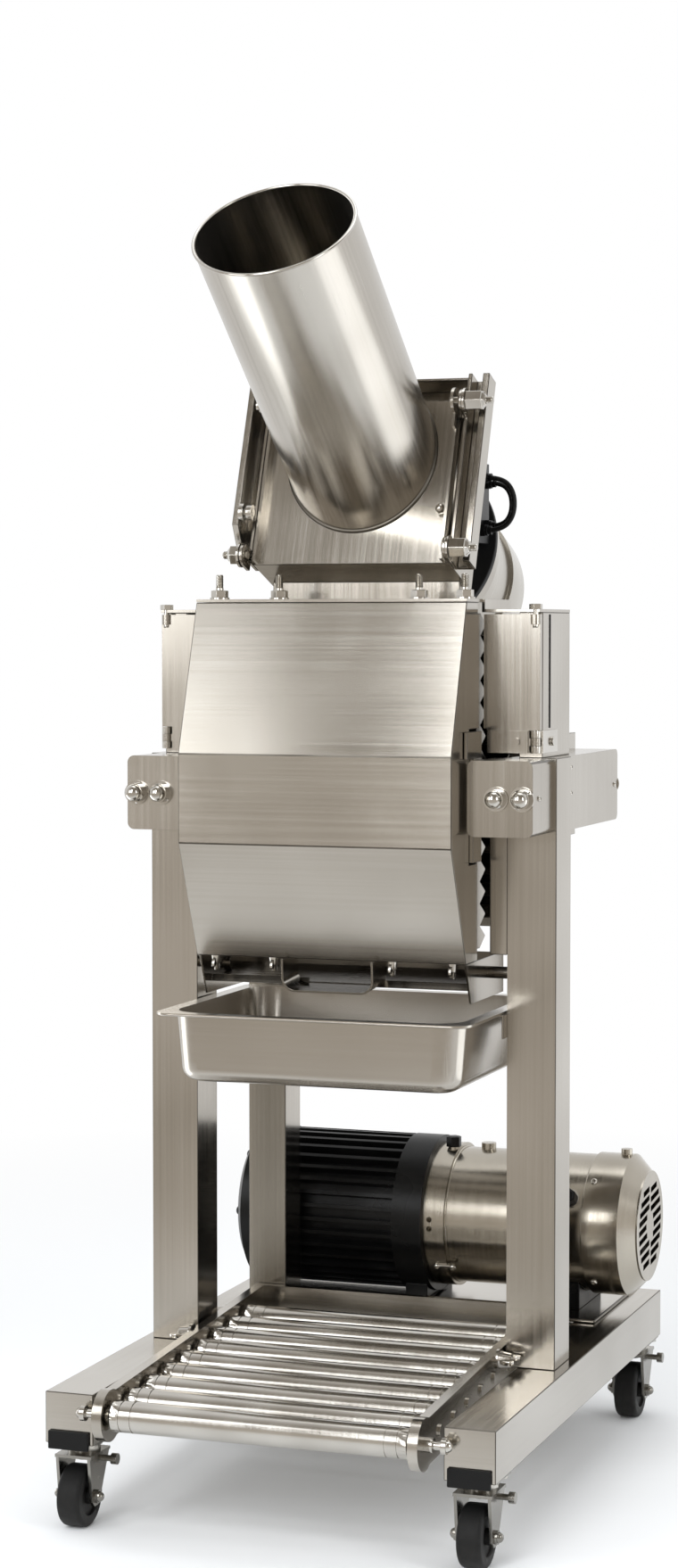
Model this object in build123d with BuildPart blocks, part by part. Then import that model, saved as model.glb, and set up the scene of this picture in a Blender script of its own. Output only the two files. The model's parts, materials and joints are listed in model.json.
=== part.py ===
"""Cold-press juicer on casters: every sub-part as its own solid, in one frame.

Millimetres. X to the right, Y to the back, Z up. The origin is on the floor under the middle.
"""
import math
import os

from build123d import *

os.makedirs("parts", exist_ok=True)

# Fits
GAP = 0.3
RUN = 0.05
SHEET = 2.0
WALL = 3.0

# Pan: the columns stand beside it, and the base and bed follow the columns
PAN_W = 325.0
PAN_L = 265.0
PAN_D = 70.0
PAN_ROUND = 25.0
PAN_FOOT = 15.0
PAN_WALL = 1.5
PAN_IN = 18.0
PAN_HOLLOW = PAN_IN + PAN_WALL
PAN_Z = 490.0
PAN_Y = -54.5
PAN_SIDE = 2.5
PAN_LAP = 10.0

# Columns
COL_IN = PAN_W / 2 + PAN_SIDE
COL_OUT = COL_IN + 50.0
COL_FRONT = -62.0
COL_REAR = -8.0
TOP_Z = 894.0
TOP_SHEET = 3.0
TOP_FACE = TOP_Z + TOP_SHEET
SIDE_TOP = TOP_Z - 10.0
CAP_FACE = SIDE_TOP + TOP_SHEET

# Base
RAIL = 50.0
RAIL_IN = COL_IN + 11.0
RAIL_OUT = RAIL_IN + RAIL
BASE_FRONT = -302.0
BASE_REAR = 338.0
RAIL_BOTTOM = 85.0
RAIL_TOP = RAIL_BOTTOM + RAIL
BEAM_MID = (100.0, 150.0)
BEAM_REAR = (268.0, 318.0)
PLATE_HALF = RAIL_IN + 24.0
PLATE_Y = (150.5, 322.0)

# Casters
WHEEL_R = 30.0
WHEEL_W = 24.0
TRAIL = 12.0
AXLE_R = 4.0
KING_R = 5.0
CASTER_X = RAIL_IN + RAIL / 2
CASTERS = {
    "fl": (-CASTER_X, -267.0),
    "fr": (CASTER_X, -267.0),
    "rl": (-CASTER_X, 315.0),
    "rr": (CASTER_X, 315.0),
}

# Posts
POST_OUT = COL_IN + 7.0
POST_IN = POST_OUT - 42.0
POST_FRONT = 102.0
POST_REAR = 148.0

# Roller bed
BAR_OUT = COL_IN - 3.0
BAR_IN = BAR_OUT - 10.0
BAR_HALF = 22.0
BAR_NOSE = 25.0
ROLLER_R = 15.0
ROLLER_HALF = BAR_IN - 3.0
ROLLERS = 9
BED_FRONT = -313.0
BED_LAST = BEAM_MID[0] - 61.0
PITCH = (BED_LAST - BED_FRONT) / (ROLLERS - 1)
BED_Z = 120.0
BED_RISE = 18.0 / 352.0

# Front cover: the press plates and the trough are as wide as it is, less a clearance
COVER_HALF = 141.0
COVER_BACK = -84.0
COVER_EDGE = -121.0
COVER_FACE = -170.0
COVER_Z = (541.5, 657.0, 745.0, 893.7)
PRESS_HALF = COVER_HALF - 1.0

# Press
ROD_X = (COL_IN + 9.5, COL_IN + 35.5)
ROD_R = 6.0
BOX_IN = COVER_HALF + 4.0
BOX_OUT = COL_OUT - 4.0
BOX_FRONT = -133.0
BOX_LOW = 667.0
BOX_TALL = 74.0
BOX_ROUND = 7.0
BOX_Z = (BOX_LOW, BOX_LOW + BOX_TALL)
ROD_Z = BOX_LOW + BOX_TALL / 2
REAR_BOX_BACK = 193.0
HEAD_FRONT = -112.0
HEAD_BACK = -84.0
TOOTH = 22.0
TOOTH_H = 19.0
RAM_Z = ROD_Z
RAM_R = 20.0
PISTON_R = 30.0
CYL_R = 45.0

# Side plates and doors
SIDE_X = COL_OUT - 15.0
SIDE_REAR = 40.0
DOOR_X = SIDE_X - 5.0
DOOR_Y = -68.0
DOOR_Z = (BOX_Z[1] + 5.0, SIDE_TOP - 2.0)
PIVOT_R = 3.0
HINGE_Z = (DOOR_Z[0], DOOR_Z[0] + 7.0, DOOR_Z[0] + 15.0, DOOR_Z[0] + 22.0)
RIVET_Z = DOOR_Z[0] + 11.0

# Grinder: a frame on the hood plate, tilted back from upright
TILT = 20.0
HOOD_AT = (0.0, -22.0, 1042.0)
HOOD_HALF = 100.0
HOOD_LOW = -116.0
HOOD_STEP = 58.0
HOOD_HIGH = 82.0
HOUSE_HALF = 104.0
HOUSE_TOP = 41.0
HOUSE_BACK = -80.0
ARM_OUT = 126.0
ARM_TOP = 86.0
WING_OUT = 122.0
WING_FRONT = 24.0
SLOT_HALF = 96.0
SLOT_W = (-77.0, -54.0)
TUBE_R = 77.5
TUBE_LEN = 320.0
TUBE_LEAN = 52.0
RIM_LEAN = 38.0
GRIND_V = -38.0
DRUM_R = 80.0
PIN_V = 49.0
PIN_W = 20.0
CLAMP_V = (-114.0, -108.0)
INNER_CLAMP_V = -68.0

# Power unit along X
PU_Y = 238.0
PU_Z = 226.0
PU_R = 73.5
PUMP_R = 85.0
PU_LEFT = -210.0
PUMP_CAP = -173.0
PUMP_FLANGE = -28.0
PUMP_END = 5.0
RING_END = 29.0
MOTOR_END = 182.0
CONE_AT = 220.0
PU_RIGHT = 238.0

# Motor leads
LEAD_R = 2.5
LEAD_A = [
    (101, 76, 1023),
    (118, 76, 1023),
    (131, 76, 1008),
    (131, 76, 984),
    (118, 76, 969),
    (101, 76, 969),
]
LEAD_B = [
    (101, 90, 1018),
    (114, 90, 1018),
    (124, 90, 1006),
    (124, 90, 986),
    (114, 90, 974),
    (101, 90, 974),
]

SIDES = (-1, 1)
LEAN_V = Vector(0, math.sin(math.radians(TILT)), math.cos(math.radians(TILT)))
LEAN_N = Vector(0, -math.cos(math.radians(TILT)), math.sin(math.radians(TILT)))


def save(name, builder):
    """Label a finished sub-part and write its file."""
    builder.part.label = name
    export_step(builder.part, f"parts/{name}.step")


def block(x0, x1, y0, y1, z0, z1, mode=Mode.ADD):
    """Box between two corners, in the builder that is open."""
    with Locations(((x0 + x1) / 2, (y0 + y1) / 2, (z0 + z1) / 2)):
        Box(abs(x1 - x0), abs(y1 - y0), abs(z1 - z0), mode=mode)


def rod(start, end, radius, mode=Mode.ADD, tip=None):
    """Round bar, or a cone where tip is given, from start to end."""
    along = Vector(*end) - Vector(*start)
    with Locations(Plane(origin=start, z_dir=along)):
        if tip is None:
            Cylinder(radius, along.length, align=(Align.CENTER, Align.CENTER, Align.MIN), mode=mode)
        else:
            Cone(radius, tip, along.length, align=(Align.CENTER, Align.CENTER, Align.MIN), mode=mode)


def dome(at, radius, mode=Mode.ADD):
    """Ball centred at a point."""
    with Locations(at):
        Sphere(radius, mode=mode)


def slab(points, x0, x1, mode=Mode.ADD):
    """Outline in Y and Z, from x0 to x1."""
    with BuildSketch(Plane(origin=(x0, 0, 0), x_dir=(0, 1, 0), z_dir=(1, 0, 0))) as outline:
        with BuildLine():
            Polyline(*points, close=True)
        make_face()
    extrude(outline.sketch, amount=x1 - x0, mode=mode)


def lean(x, v, w):
    """Point of the grinder frame: across, up the plate, out of the plate."""
    return tuple(Vector(*HOOD_AT) + Vector(x, 0, 0) + LEAN_V * v + LEAN_N * w)


def lean_plane(v, w, out=1):
    """Plane parallel to the hood plate."""
    return Plane(origin=lean(0, v, w), x_dir=(1, 0, 0), z_dir=tuple(LEAN_N * out))


def lean_block(x0, x1, v0, v1, w0, w1, mode=Mode.ADD):
    """Box in the grinder frame."""
    with Locations(lean_plane((v0 + v1) / 2, (w0 + w1) / 2)):
        with Locations(((x0 + x1) / 2, 0, 0)):
            Box(abs(x1 - x0), abs(v1 - v0), abs(w1 - w0), mode=mode)


def lean_rod(x, v, w0, w1, radius, mode=Mode.ADD, tip=None):
    """Round bar across the hood plate."""
    rod(lean(x, v, w0), lean(x, v, w1), radius, mode, tip)


def bar_z(y):
    """Height of the roller bed's centre line."""
    return BED_Z + (y - BED_FRONT) * BED_RISE


def pivot(s, z0, z1, radius, mode=Mode.ADD):
    """Upright round bar on a guard door's hinge axis."""
    rod((s * DOOR_X, DOOR_Y, z0), (s * DOOR_X, DOOR_Y, z1), radius, mode)


def mesh_teeth(base, face, tip, z0, count, half):
    """Outline of a corrugated plate: a flat base and triangular ridges."""
    line = [(base, z0)]
    line.append((face, z0))
    for i in range(count):
        line.append((tip, z0 + (i + 0.5) * TOOTH))
        line.append((face, z0 + (i + 1) * TOOTH))
    line.append((base, z0 + count * TOOTH))
    slab(line, -half, half)


# Base
with BuildPart() as base_rails:
    for s in SIDES:
        block(s * RAIL_IN, s * RAIL_OUT, BASE_FRONT, BASE_REAR, RAIL_BOTTOM, RAIL_TOP)
        block(s * (RAIL_IN + WALL), s * (RAIL_OUT - WALL), BASE_FRONT + WALL, BASE_REAR - WALL,
              RAIL_BOTTOM + WALL, RAIL_TOP - WALL, Mode.SUBTRACT)
save("base_rails", base_rails)

with BuildPart() as cross_beams:
    for y0, y1 in (BEAM_MID, BEAM_REAR):
        block(-RAIL_IN, RAIL_IN, y0, y1, RAIL_BOTTOM, RAIL_TOP)
        block(-RAIL_IN, RAIL_IN, y0 + WALL, y1 - WALL, RAIL_BOTTOM + WALL, RAIL_TOP - WALL, Mode.SUBTRACT)
    block(-PLATE_HALF, PLATE_HALF, PLATE_Y[0], PLATE_Y[1], RAIL_TOP, RAIL_TOP + 4)
save("cross_beams", cross_beams)

with BuildPart() as rail_pads:
    for s in SIDES:
        block(s * (RAIL_IN + 4), s * (RAIL_OUT - 4), BASE_FRONT - 4, BASE_FRONT, 80.0, 98.0)
save("rail_pads", rail_pads)

# Casters: plates stay with the base, forks swivel, wheels roll
with BuildPart() as caster_plates:
    for cx, cy in CASTERS.values():
        block(cx - 23, cx + 23, cy - 22, cy + 22, RAIL_BOTTOM - 3, RAIL_BOTTOM)
        rod((cx, cy, 78), (cx, cy, RAIL_BOTTOM - 3), 18)
        rod((cx, cy, 66), (cx, cy, 78), KING_R)
        rod((cx, cy, 63), (cx, cy, 66), 8)
save("caster_plates", caster_plates)

for tag, (cx, cy) in CASTERS.items():
    ay = cy - TRAIL
    leg = [(cy - 27, 69), (cy + 19, 69), (ay + 9, 26), (ay + 4, 21), (ay - 4, 21), (ay - 9, 26)]
    with BuildPart() as fork:
        block(cx - 19, cx + 19, cy - 27, cy + 19, 69, 72)
        rod((cx, cy, 72), (cx, cy, 77.6), 16)
        for s in SIDES:
            slab(leg, cx + s * 15, cx + s * 18)
            rod((cx + s * 18, ay, WHEEL_R), (cx + s * 21, ay, WHEEL_R), 6.5)
            dome((cx + s * 21, ay, WHEEL_R), 5.0)
        rod((cx - 15, ay, WHEEL_R), (cx + 15, ay, WHEEL_R), AXLE_R)
        rod((cx + 18, cy + 10, 62), (cx + 30, cy + 10, 62), 3.0)
        rod((cx + 25, cy + 10, 62), (cx + 31, cy + 10, 62), 5.5)
        rod((cx, cy, 60), (cx, cy, 80), KING_R + RUN, Mode.SUBTRACT)
    save(f"caster_fork_{tag}", fork)

    with BuildPart() as wheel:
        rod((cx - WHEEL_W / 2, ay, WHEEL_R), (cx + WHEEL_W / 2, ay, WHEEL_R), WHEEL_R)
        fillet(wheel.edges().filter_by(GeomType.CIRCLE), 4.0)
        for s in SIDES:
            rod((cx + s * 9, ay, WHEEL_R), (cx + s * 12, ay, WHEEL_R), 19, Mode.SUBTRACT)
            rod((cx + s * 9, ay, WHEEL_R), (cx + s * 14, ay, WHEEL_R), 8)
        rod((cx - 14, ay, WHEEL_R), (cx + 14, ay, WHEEL_R), AXLE_R + RUN, Mode.SUBTRACT)
    save(f"caster_wheel_{tag}", wheel)

# Columns and posts
with BuildPart() as columns:
    for s in SIDES:
        block(s * COL_IN, s * COL_OUT, COL_FRONT, COL_REAR, RAIL_TOP, BOX_Z[1])
        block(s * (COL_IN + WALL), s * (COL_OUT - WALL), COL_FRONT + WALL, COL_REAR - WALL,
              RAIL_TOP, BOX_Z[1] - WALL, Mode.SUBTRACT)
        for x in ROD_X:
            rod((s * x, COL_FRONT - 1, ROD_Z), (s * x, COL_REAR + 1, ROD_Z), ROD_R + GAP, Mode.SUBTRACT)
save("columns", columns)

with BuildPart() as rear_posts:
    for s in SIDES:
        block(s * POST_IN, s * POST_OUT, POST_FRONT, POST_REAR, RAIL_TOP, BOX_Z[0])
        block(s * (POST_IN + WALL), s * (POST_OUT - WALL), POST_FRONT + WALL, POST_REAR - WALL,
              RAIL_TOP, BOX_Z[0], Mode.SUBTRACT)
save("rear_posts", rear_posts)

with BuildPart() as side_plates:
    for s in SIDES:
        block(s * (SIDE_X - WALL), s * SIDE_X, COL_FRONT + SHEET, SIDE_REAR, BOX_Z[1], SIDE_TOP)
        block(s * (SIDE_X - 24), s * SIDE_X, COL_FRONT + SHEET, COL_FRONT + SHEET + WALL, BOX_Z[1], SIDE_TOP)
        block(s * (SIDE_X - 28), s * SIDE_X, SIDE_REAR - WALL, SIDE_REAR, BOX_Z[1], SIDE_TOP)
        block(s * (COVER_HALF + 6), s * COL_IN, COL_FRONT, COL_FRONT + SHEET, 546, BOX_Z[0] - 2)
        block(s * (COL_IN - SHEET), s * COL_IN, COL_FRONT, COL_REAR, 546, BOX_Z[0] - 2)
save("side_plates", side_plates)

# Roller bed
BED_BACK = BEAM_MID[0]
AXLE_YZ = [(BED_FRONT + i * PITCH, bar_z(BED_FRONT + i * PITCH)) for i in range(ROLLERS)]
with BuildPart() as bed_bars:
    z_back = bar_z(BED_BACK)
    for s in SIDES:
        slab([(BED_FRONT, BED_Z - BAR_HALF), (BED_BACK, z_back - BAR_HALF), (BED_BACK, z_back + BAR_HALF),
              (BED_FRONT, BED_Z + BAR_HALF)], s * BAR_IN, s * BAR_OUT)
        rod((s * BAR_IN, BED_FRONT, BED_Z), (s * BAR_OUT, BED_FRONT, BED_Z), BAR_NOSE)
    block(-BAR_IN, BAR_IN, BED_BACK - 8, BED_BACK, z_back - BAR_HALF, z_back + BAR_HALF)
    for y, z in AXLE_YZ:
        rod((-BAR_OUT - 1, y, z), (BAR_OUT + 1, y, z), AXLE_R + GAP, Mode.SUBTRACT)
save("bed_bars", bed_bars)

with BuildPart() as bed_axles:
    for i, (y, z) in enumerate(AXLE_YZ):
        reach = BAR_OUT + 16 if i == 0 else BAR_OUT
        rod((-reach, y, z), (reach, y, z), AXLE_R)
        for s in SIDES:
            if i == 0:
                rod((s * BAR_OUT, y, z), (s * (BAR_OUT + 8), y, z), 7.0)
                rod((s * (BAR_OUT + 16), y, z), (s * (BAR_OUT + 21), y, z), 7.5)
                dome((s * (BAR_OUT + 21), y, z), 5.5)
            else:
                rod((s * BAR_OUT, y, z), (s * (BAR_OUT + 2), y, z), 6.0)
save("bed_axles", bed_axles)

for i, (y, z) in enumerate(AXLE_YZ):
    with BuildPart() as roller:
        rod((-ROLLER_HALF, y, z), (ROLLER_HALF, y, z), ROLLER_R)
        chamfer(roller.edges().filter_by(GeomType.CIRCLE), 1.2)
        for s in SIDES:
            rod((s * ROLLER_HALF, y, z), (s * (BAR_IN - 0.5), y, z), 7.0)
            for g in (ROLLER_HALF - 23, ROLLER_HALF - 11):
                rod((s * g, y, z), (s * (g + 1.6), y, z), ROLLER_R + 1, Mode.SUBTRACT)
                rod((s * g, y, z), (s * (g + 1.6), y, z), ROLLER_R - 0.8)
        rod((-BAR_IN, y, z), (BAR_IN, y, z), AXLE_R + RUN, Mode.SUBTRACT)
    save(f"roller_{i + 1}", roller)

with BuildPart() as bed_wing_screws:
    for s in SIDES:
        for y in (-82.0, 17.0):
            rod((s * BAR_OUT, y, 147), (s * (BAR_OUT + 4), y, 147), 7.0)
            rod((s * (BAR_OUT + 4), y, 147), (s * (BAR_OUT + 13), y, 147), 4.5)
            with Locations((s * (BAR_OUT + 10), y, 147)):
                Box(4.0, 26.0, 9.0)
save("bed_wing_screws", bed_wing_screws)

# Press frame
with BuildPart() as side_boxes:
    for s in SIDES:
        with BuildSketch(Plane(origin=((BOX_IN + BOX_OUT) / 2 * s, BOX_FRONT, sum(BOX_Z) / 2),
                               x_dir=(1, 0, 0), z_dir=(0, 1, 0))):
            RectangleRounded(BOX_OUT - BOX_IN, BOX_TALL, BOX_ROUND)
        extrude(amount=COL_FRONT - BOX_FRONT)
        block(s * (BOX_IN + WALL), s * (BOX_OUT - WALL), BOX_FRONT + WALL, COL_FRONT, BOX_Z[0] + WALL,
              BOX_Z[1] - WALL, Mode.SUBTRACT)
        with BuildSketch(Plane(origin=(s * COL_IN, (COL_REAR + REAR_BOX_BACK) / 2, sum(BOX_Z) / 2),
                               x_dir=(0, 1, 0), z_dir=(1, 0, 0))):
            RectangleRounded(REAR_BOX_BACK - COL_REAR, BOX_TALL, BOX_ROUND)
        extrude(amount=s * (BOX_OUT - COL_IN))
        block(s * (COL_IN + WALL), s * (BOX_OUT - WALL), COL_REAR + WALL, REAR_BOX_BACK - WALL,
              BOX_Z[0] + WALL, BOX_Z[1] - WALL, Mode.SUBTRACT)
        for x in ROD_X:
            rod((s * x, BOX_FRONT - 1, ROD_Z), (s * x, REAR_BOX_BACK + 1, ROD_Z), ROD_R + GAP, Mode.SUBTRACT)
save("side_boxes", side_boxes)

with BuildPart() as tie_rods:
    for s in SIDES:
        for x in ROD_X:
            rod((s * x, BOX_FRONT - 10, ROD_Z), (s * x, REAR_BOX_BACK + 10, ROD_Z), ROD_R)
            for y, out in ((BOX_FRONT, -1), (REAR_BOX_BACK, 1)):
                rod((s * x, y, ROD_Z), (s * x, y + out * 2.5, ROD_Z), 12.0)
                rod((s * x, y + out * 2.5, ROD_Z), (s * x, y + out * 10, ROD_Z), 9.5)
                dome((s * x, y + out * 10, ROD_Z), 8.5)
save("tie_rods", tie_rods)

with BuildPart() as crossheads:
    block(-BOX_IN, BOX_IN, HEAD_FRONT, HEAD_BACK, BOX_Z[0] - 27, BOX_Z[1] + 27)
    for s in SIDES:
        block(s * (COVER_HALF + 0.5), s * BOX_IN, BOX_FRONT + 1, HEAD_FRONT, BOX_Z[1] + 0.5,
              BOX_Z[1] + 27)
    block(-COL_IN, COL_IN, 150, REAR_BOX_BACK, BOX_Z[0] - 17, BOX_Z[1] + 17)
    rod((0, 149, RAM_Z), (0, REAR_BOX_BACK + 1, RAM_Z), CYL_R + GAP, Mode.SUBTRACT)
save("crossheads", crossheads)

with BuildPart() as front_press_plate:
    mesh_teeth(HEAD_BACK, HEAD_BACK + 12, HEAD_BACK + 12 + TOOTH_H, 553, 15, PRESS_HALF)
save("front_press_plate", front_press_plate)

PLATEN = 36.0
with BuildPart() as press_platen:
    mesh_teeth(PLATEN + 10, PLATEN, PLATEN - TOOTH_H, 564, 14, PRESS_HALF - 2)
    block(30 - PRESS_HALF, PRESS_HALF - 30, PLATEN + 10, PLATEN + 20, RAM_Z - 104, RAM_Z + 104)
    rod((0, PLATEN + 20, RAM_Z), (0, 204, RAM_Z), RAM_R)
    rod((0, PLATEN + 20, RAM_Z), (0, PLATEN + 28, RAM_Z), 34)
    rod((0, 190, RAM_Z), (0, 204, RAM_Z), PISTON_R)
save("press_platen", press_platen)

with BuildPart() as press_cylinder:
    rod((0, 108, RAM_Z), (0, 218, RAM_Z), CYL_R)
    rod((0, REAR_BOX_BACK, RAM_Z), (0, REAR_BOX_BACK + 10, RAM_Z), 62)
    rod((0, 118, RAM_Z), (0, 208, RAM_Z), PISTON_R + RUN, Mode.SUBTRACT)
    rod((0, 107, RAM_Z), (0, 119, RAM_Z), RAM_R + RUN, Mode.SUBTRACT)
    rod((0, 211, RAM_Z + CYL_R - 4), (0, 211, RAM_Z + CYL_R + 12), 8)
save("press_cylinder", press_cylinder)

# Top plate: a raised middle over the press and a lower cap on each side box, with its studs
CHUTE_Y = (-10.0, 10.0)
TOP_REAR = 16.0
CAP_FRONT = DOOR_Y - 3.0
with BuildPart() as top_plate:
    block(-COVER_HALF, COVER_HALF, COVER_EDGE, TOP_REAR, TOP_Z, TOP_FACE)
    for s in SIDES:
        block(s * COVER_HALF, s * (COVER_HALF + TOP_SHEET), CAP_FRONT, TOP_REAR, SIDE_TOP, TOP_FACE)
        block(s * COVER_HALF, s * SIDE_X, CAP_FRONT, SIDE_REAR, SIDE_TOP, CAP_FACE)
        pivot(s, SIDE_TOP - 1, CAP_FACE + 1, PIVOT_R + GAP, Mode.SUBTRACT)
    block(-SLOT_HALF, SLOT_HALF, CHUTE_Y[0], CHUTE_Y[1], TOP_Z - 1, TOP_FACE + 1, Mode.SUBTRACT)
save("top_plate", top_plate)

with BuildPart() as top_studs:
    for s in SIDES:
        for x, y in ((s * (COVER_HALF - 12), -88), (s * (COVER_HALF - 67), -64)):
            rod((x, y, TOP_FACE), (x, y, TOP_FACE + 2), 10.0)
            with BuildSketch(Plane(origin=(x, y, TOP_FACE + 2))):
                RegularPolygon(8.0, 6)
            extrude(amount=7.0)
            rod((x, y, TOP_FACE + 9), (x, y, TOP_FACE + 25), 4.0)
        with BuildSketch(Plane(origin=(s * DOOR_X, DOOR_Y, CAP_FACE))):
            RegularPolygon(6.5, 6)
        extrude(amount=5.0)
        pivot(s, DOOR_Z[1] - 12, CAP_FACE, PIVOT_R)
save("top_studs", top_studs)

# Front cover
OUTER = [
    (COVER_BACK, COVER_Z[3]),
    (COVER_EDGE, COVER_Z[3]),
    (COVER_FACE, COVER_Z[2]),
    (COVER_FACE, COVER_Z[1]),
    (COVER_EDGE, COVER_Z[0]),
    (COVER_BACK, COVER_Z[0]),
]
INNER = [
    (COVER_BACK + 1, COVER_Z[3] - SHEET),
    (COVER_EDGE + 1.4, COVER_Z[3] - SHEET),
    (COVER_FACE + SHEET, COVER_Z[2] - 0.3),
    (COVER_FACE + SHEET, COVER_Z[1] + 0.4),
    (COVER_EDGE + 1.3, COVER_Z[0] + SHEET),
    (COVER_BACK + 1, COVER_Z[0] + SHEET),
]
with BuildPart() as front_cover:
    slab(OUTER, -COVER_HALF, COVER_HALF)
    slab(INNER, -COVER_HALF + SHEET, COVER_HALF - SHEET, Mode.SUBTRACT)
    block(-BOX_IN, BOX_IN, HEAD_FRONT - 1, COVER_BACK + 1, BOX_Z[0] - 29, BOX_Z[1] + 29, Mode.SUBTRACT)
save("front_cover", front_cover)

with BuildPart() as cover_wing_nuts:
    for x in (17 - COVER_HALF, -62.0, 62.0, COVER_HALF - 17):
        rod((x, -111, 533), (x, -111, 541.5), 6.0)
        rod((x, -111, 526), (x, -111, 533), 3.0)
        block(x - 10, x + 10, -113, -109, 531, 539)
save("cover_wing_nuts", cover_wing_nuts)

# Guard doors, each on a lower hinge and the pivot bolt above, with a short return at the outer edge
DOOR_FACE = DOOR_Y - 1.2
DOOR_BACK = DOOR_Y + 1.3
DOOR_RETURN = DOOR_Y + 5.5
DOOR_STEP = BOX_Z[1] + 29.0
for side, s in (("left", -1), ("right", 1)):
    with BuildPart() as door:
        block(s * (COVER_HALF + 5), s * SIDE_X, DOOR_FACE, DOOR_BACK, DOOR_Z[0], DOOR_Z[1])
        block(s * (COVER_HALF + 1.5), s * (COVER_HALF + 5), DOOR_FACE, DOOR_BACK, DOOR_STEP, DOOR_Z[1])
        block(s * (SIDE_X - SHEET), s * SIDE_X, DOOR_BACK, DOOR_RETURN, DOOR_Z[0], DOOR_Z[1])
        block(s * (DOOR_X - 6), s * (SIDE_X + 1), DOOR_FACE - 1, DOOR_RETURN + 1, DOOR_Z[0] - 1,
              HINGE_Z[3] + GAP, Mode.SUBTRACT)
        for z0, z1 in ((HINGE_Z[1] + GAP, HINGE_Z[2] - GAP), (DOOR_Z[1] - 10, DOOR_Z[1])):
            block(s * (DOOR_X - 9), s * DOOR_X, DOOR_FACE, DOOR_BACK, z0, z1)
            pivot(s, z0, z1, 5.0)
        pivot(s, DOOR_Z[0] - 1, HINGE_Z[3], PIVOT_R + RUN, Mode.SUBTRACT)
        pivot(s, DOOR_Z[1] - 13, SIDE_TOP, PIVOT_R + RUN, Mode.SUBTRACT)
        block(s * (DOOR_X - 27), s * (DOOR_X - 7), DOOR_FACE - SHEET, DOOR_FACE, HINGE_Z[0], HINGE_Z[3])
        rod((s * (DOOR_X - 19), DOOR_FACE, RIVET_Z), (s * (DOOR_X - 19), DOOR_FACE - 4.3, RIVET_Z), 4.0)
    save(f"guard_door_{side}", door)

with BuildPart() as door_hinges:
    for s in SIDES:
        for z0, z1 in ((HINGE_Z[0], HINGE_Z[1]), (HINGE_Z[2], HINGE_Z[3])):
            pivot(s, z0, z1, 5.0)
            block(s * DOOR_X, s * (SIDE_X + SHEET), DOOR_Y + 3, DOOR_Y + 5, z0, z1)
        pivot(s, HINGE_Z[0], HINGE_Z[3], PIVOT_R)
        block(s * SIDE_X, s * (SIDE_X + SHEET), DOOR_Y + 3, -12, HINGE_Z[0], HINGE_Z[3])
        rod((s * (SIDE_X + SHEET), -34, RIVET_Z), (s * (SIDE_X + 4.5), -34, RIVET_Z), 4.5)
save("door_hinges", door_hinges)

# Juice trough: skirts and a back wall round a floor that falls to the front lip and the U-shaped spout
SKIRT_Z = (501.0, 541.0)
FLOOR_Y = (-88.0, 10.0)
FLOOR_Z = (512.0, 520.0)
FALL = math.atan2(FLOOR_Z[1] - FLOOR_Z[0], FLOOR_Y[1] - FLOOR_Y[0])
SPOUT_HALF = 48.0
SPOUT_ROUND = 14.0
SPOUT_LONG = 42.0
SPOUT_TALL = 60.0
LIP = 7.0
KNOB_Y = -40.0
KNOB_Z = 526.0
SPOUT_START = Plane(
    origin=(0, FLOOR_Y[0] + 2, FLOOR_Z[0] + 2 * math.tan(FALL)),
    x_dir=(1, 0, 0),
    z_dir=(0, -math.cos(FALL), -math.sin(FALL)),
)
with BuildPart() as spout:
    with BuildSketch(SPOUT_START) as channel:
        with Locations((0, SPOUT_TALL / 2)):
            RectangleRounded(2 * SPOUT_HALF, SPOUT_TALL, SPOUT_ROUND)
            RectangleRounded(2 * (SPOUT_HALF - SHEET), SPOUT_TALL - 2 * SHEET, SPOUT_ROUND - SHEET,
                             mode=Mode.SUBTRACT)
    extrude(channel.sketch, amount=SPOUT_LONG)
    split(bisect_by=Plane.XY.offset(SKIRT_Z[1]), keep=Keep.BOTTOM)

with BuildPart() as juice_trough:
    for s in SIDES:
        slab([(FLOOR_Y[1], SKIRT_Z[1]), (FLOOR_Y[1], SKIRT_Z[0]), (-101, SKIRT_Z[0]), (-118, SKIRT_Z[1])],
             s * (PRESS_HALF - SHEET), s * PRESS_HALF)
        rod((s * PRESS_HALF, KNOB_Y, KNOB_Z), (s * COL_IN, KNOB_Y, KNOB_Z), 6.0)
        rod((s * (PRESS_HALF - 6), KNOB_Y, KNOB_Z), (s * (PRESS_HALF - SHEET), KNOB_Y, KNOB_Z), 9.0)
    slab([(FLOOR_Y[1], FLOOR_Z[1]), (FLOOR_Y[0], FLOOR_Z[0]), (FLOOR_Y[0], FLOOR_Z[0] + SHEET),
          (FLOOR_Y[1], FLOOR_Z[1] + SHEET)], 1 - PRESS_HALF, PRESS_HALF - 1)
    block(1 - PRESS_HALF, PRESS_HALF - 1, FLOOR_Y[1] - SHEET, FLOOR_Y[1], SKIRT_Z[0], SKIRT_Z[1])
    slab([(FLOOR_Y[0] - 2, FLOOR_Z[0]), (FLOOR_Y[0], FLOOR_Z[0]), (FLOOR_Y[0] + 4, FLOOR_Z[0] + LIP),
          (FLOOR_Y[0] + 2, FLOOR_Z[0] + LIP)], 1 - PRESS_HALF, PRESS_HALF - 1)
    slab([(FLOOR_Y[0] - 3, FLOOR_Z[0] + SHEET), (FLOOR_Y[0], FLOOR_Z[0] + SHEET),
          (FLOOR_Y[0] + 6, FLOOR_Z[0] + SHEET + 6 * math.tan(FALL)), (FLOOR_Y[0] + 6, SKIRT_Z[1]),
          (FLOOR_Y[0] - 3, SKIRT_Z[1])], SPOUT_ROUND - SPOUT_HALF, SPOUT_HALF - SPOUT_ROUND, Mode.SUBTRACT)
    add(spout.part)
save("juice_trough", juice_trough)

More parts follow.
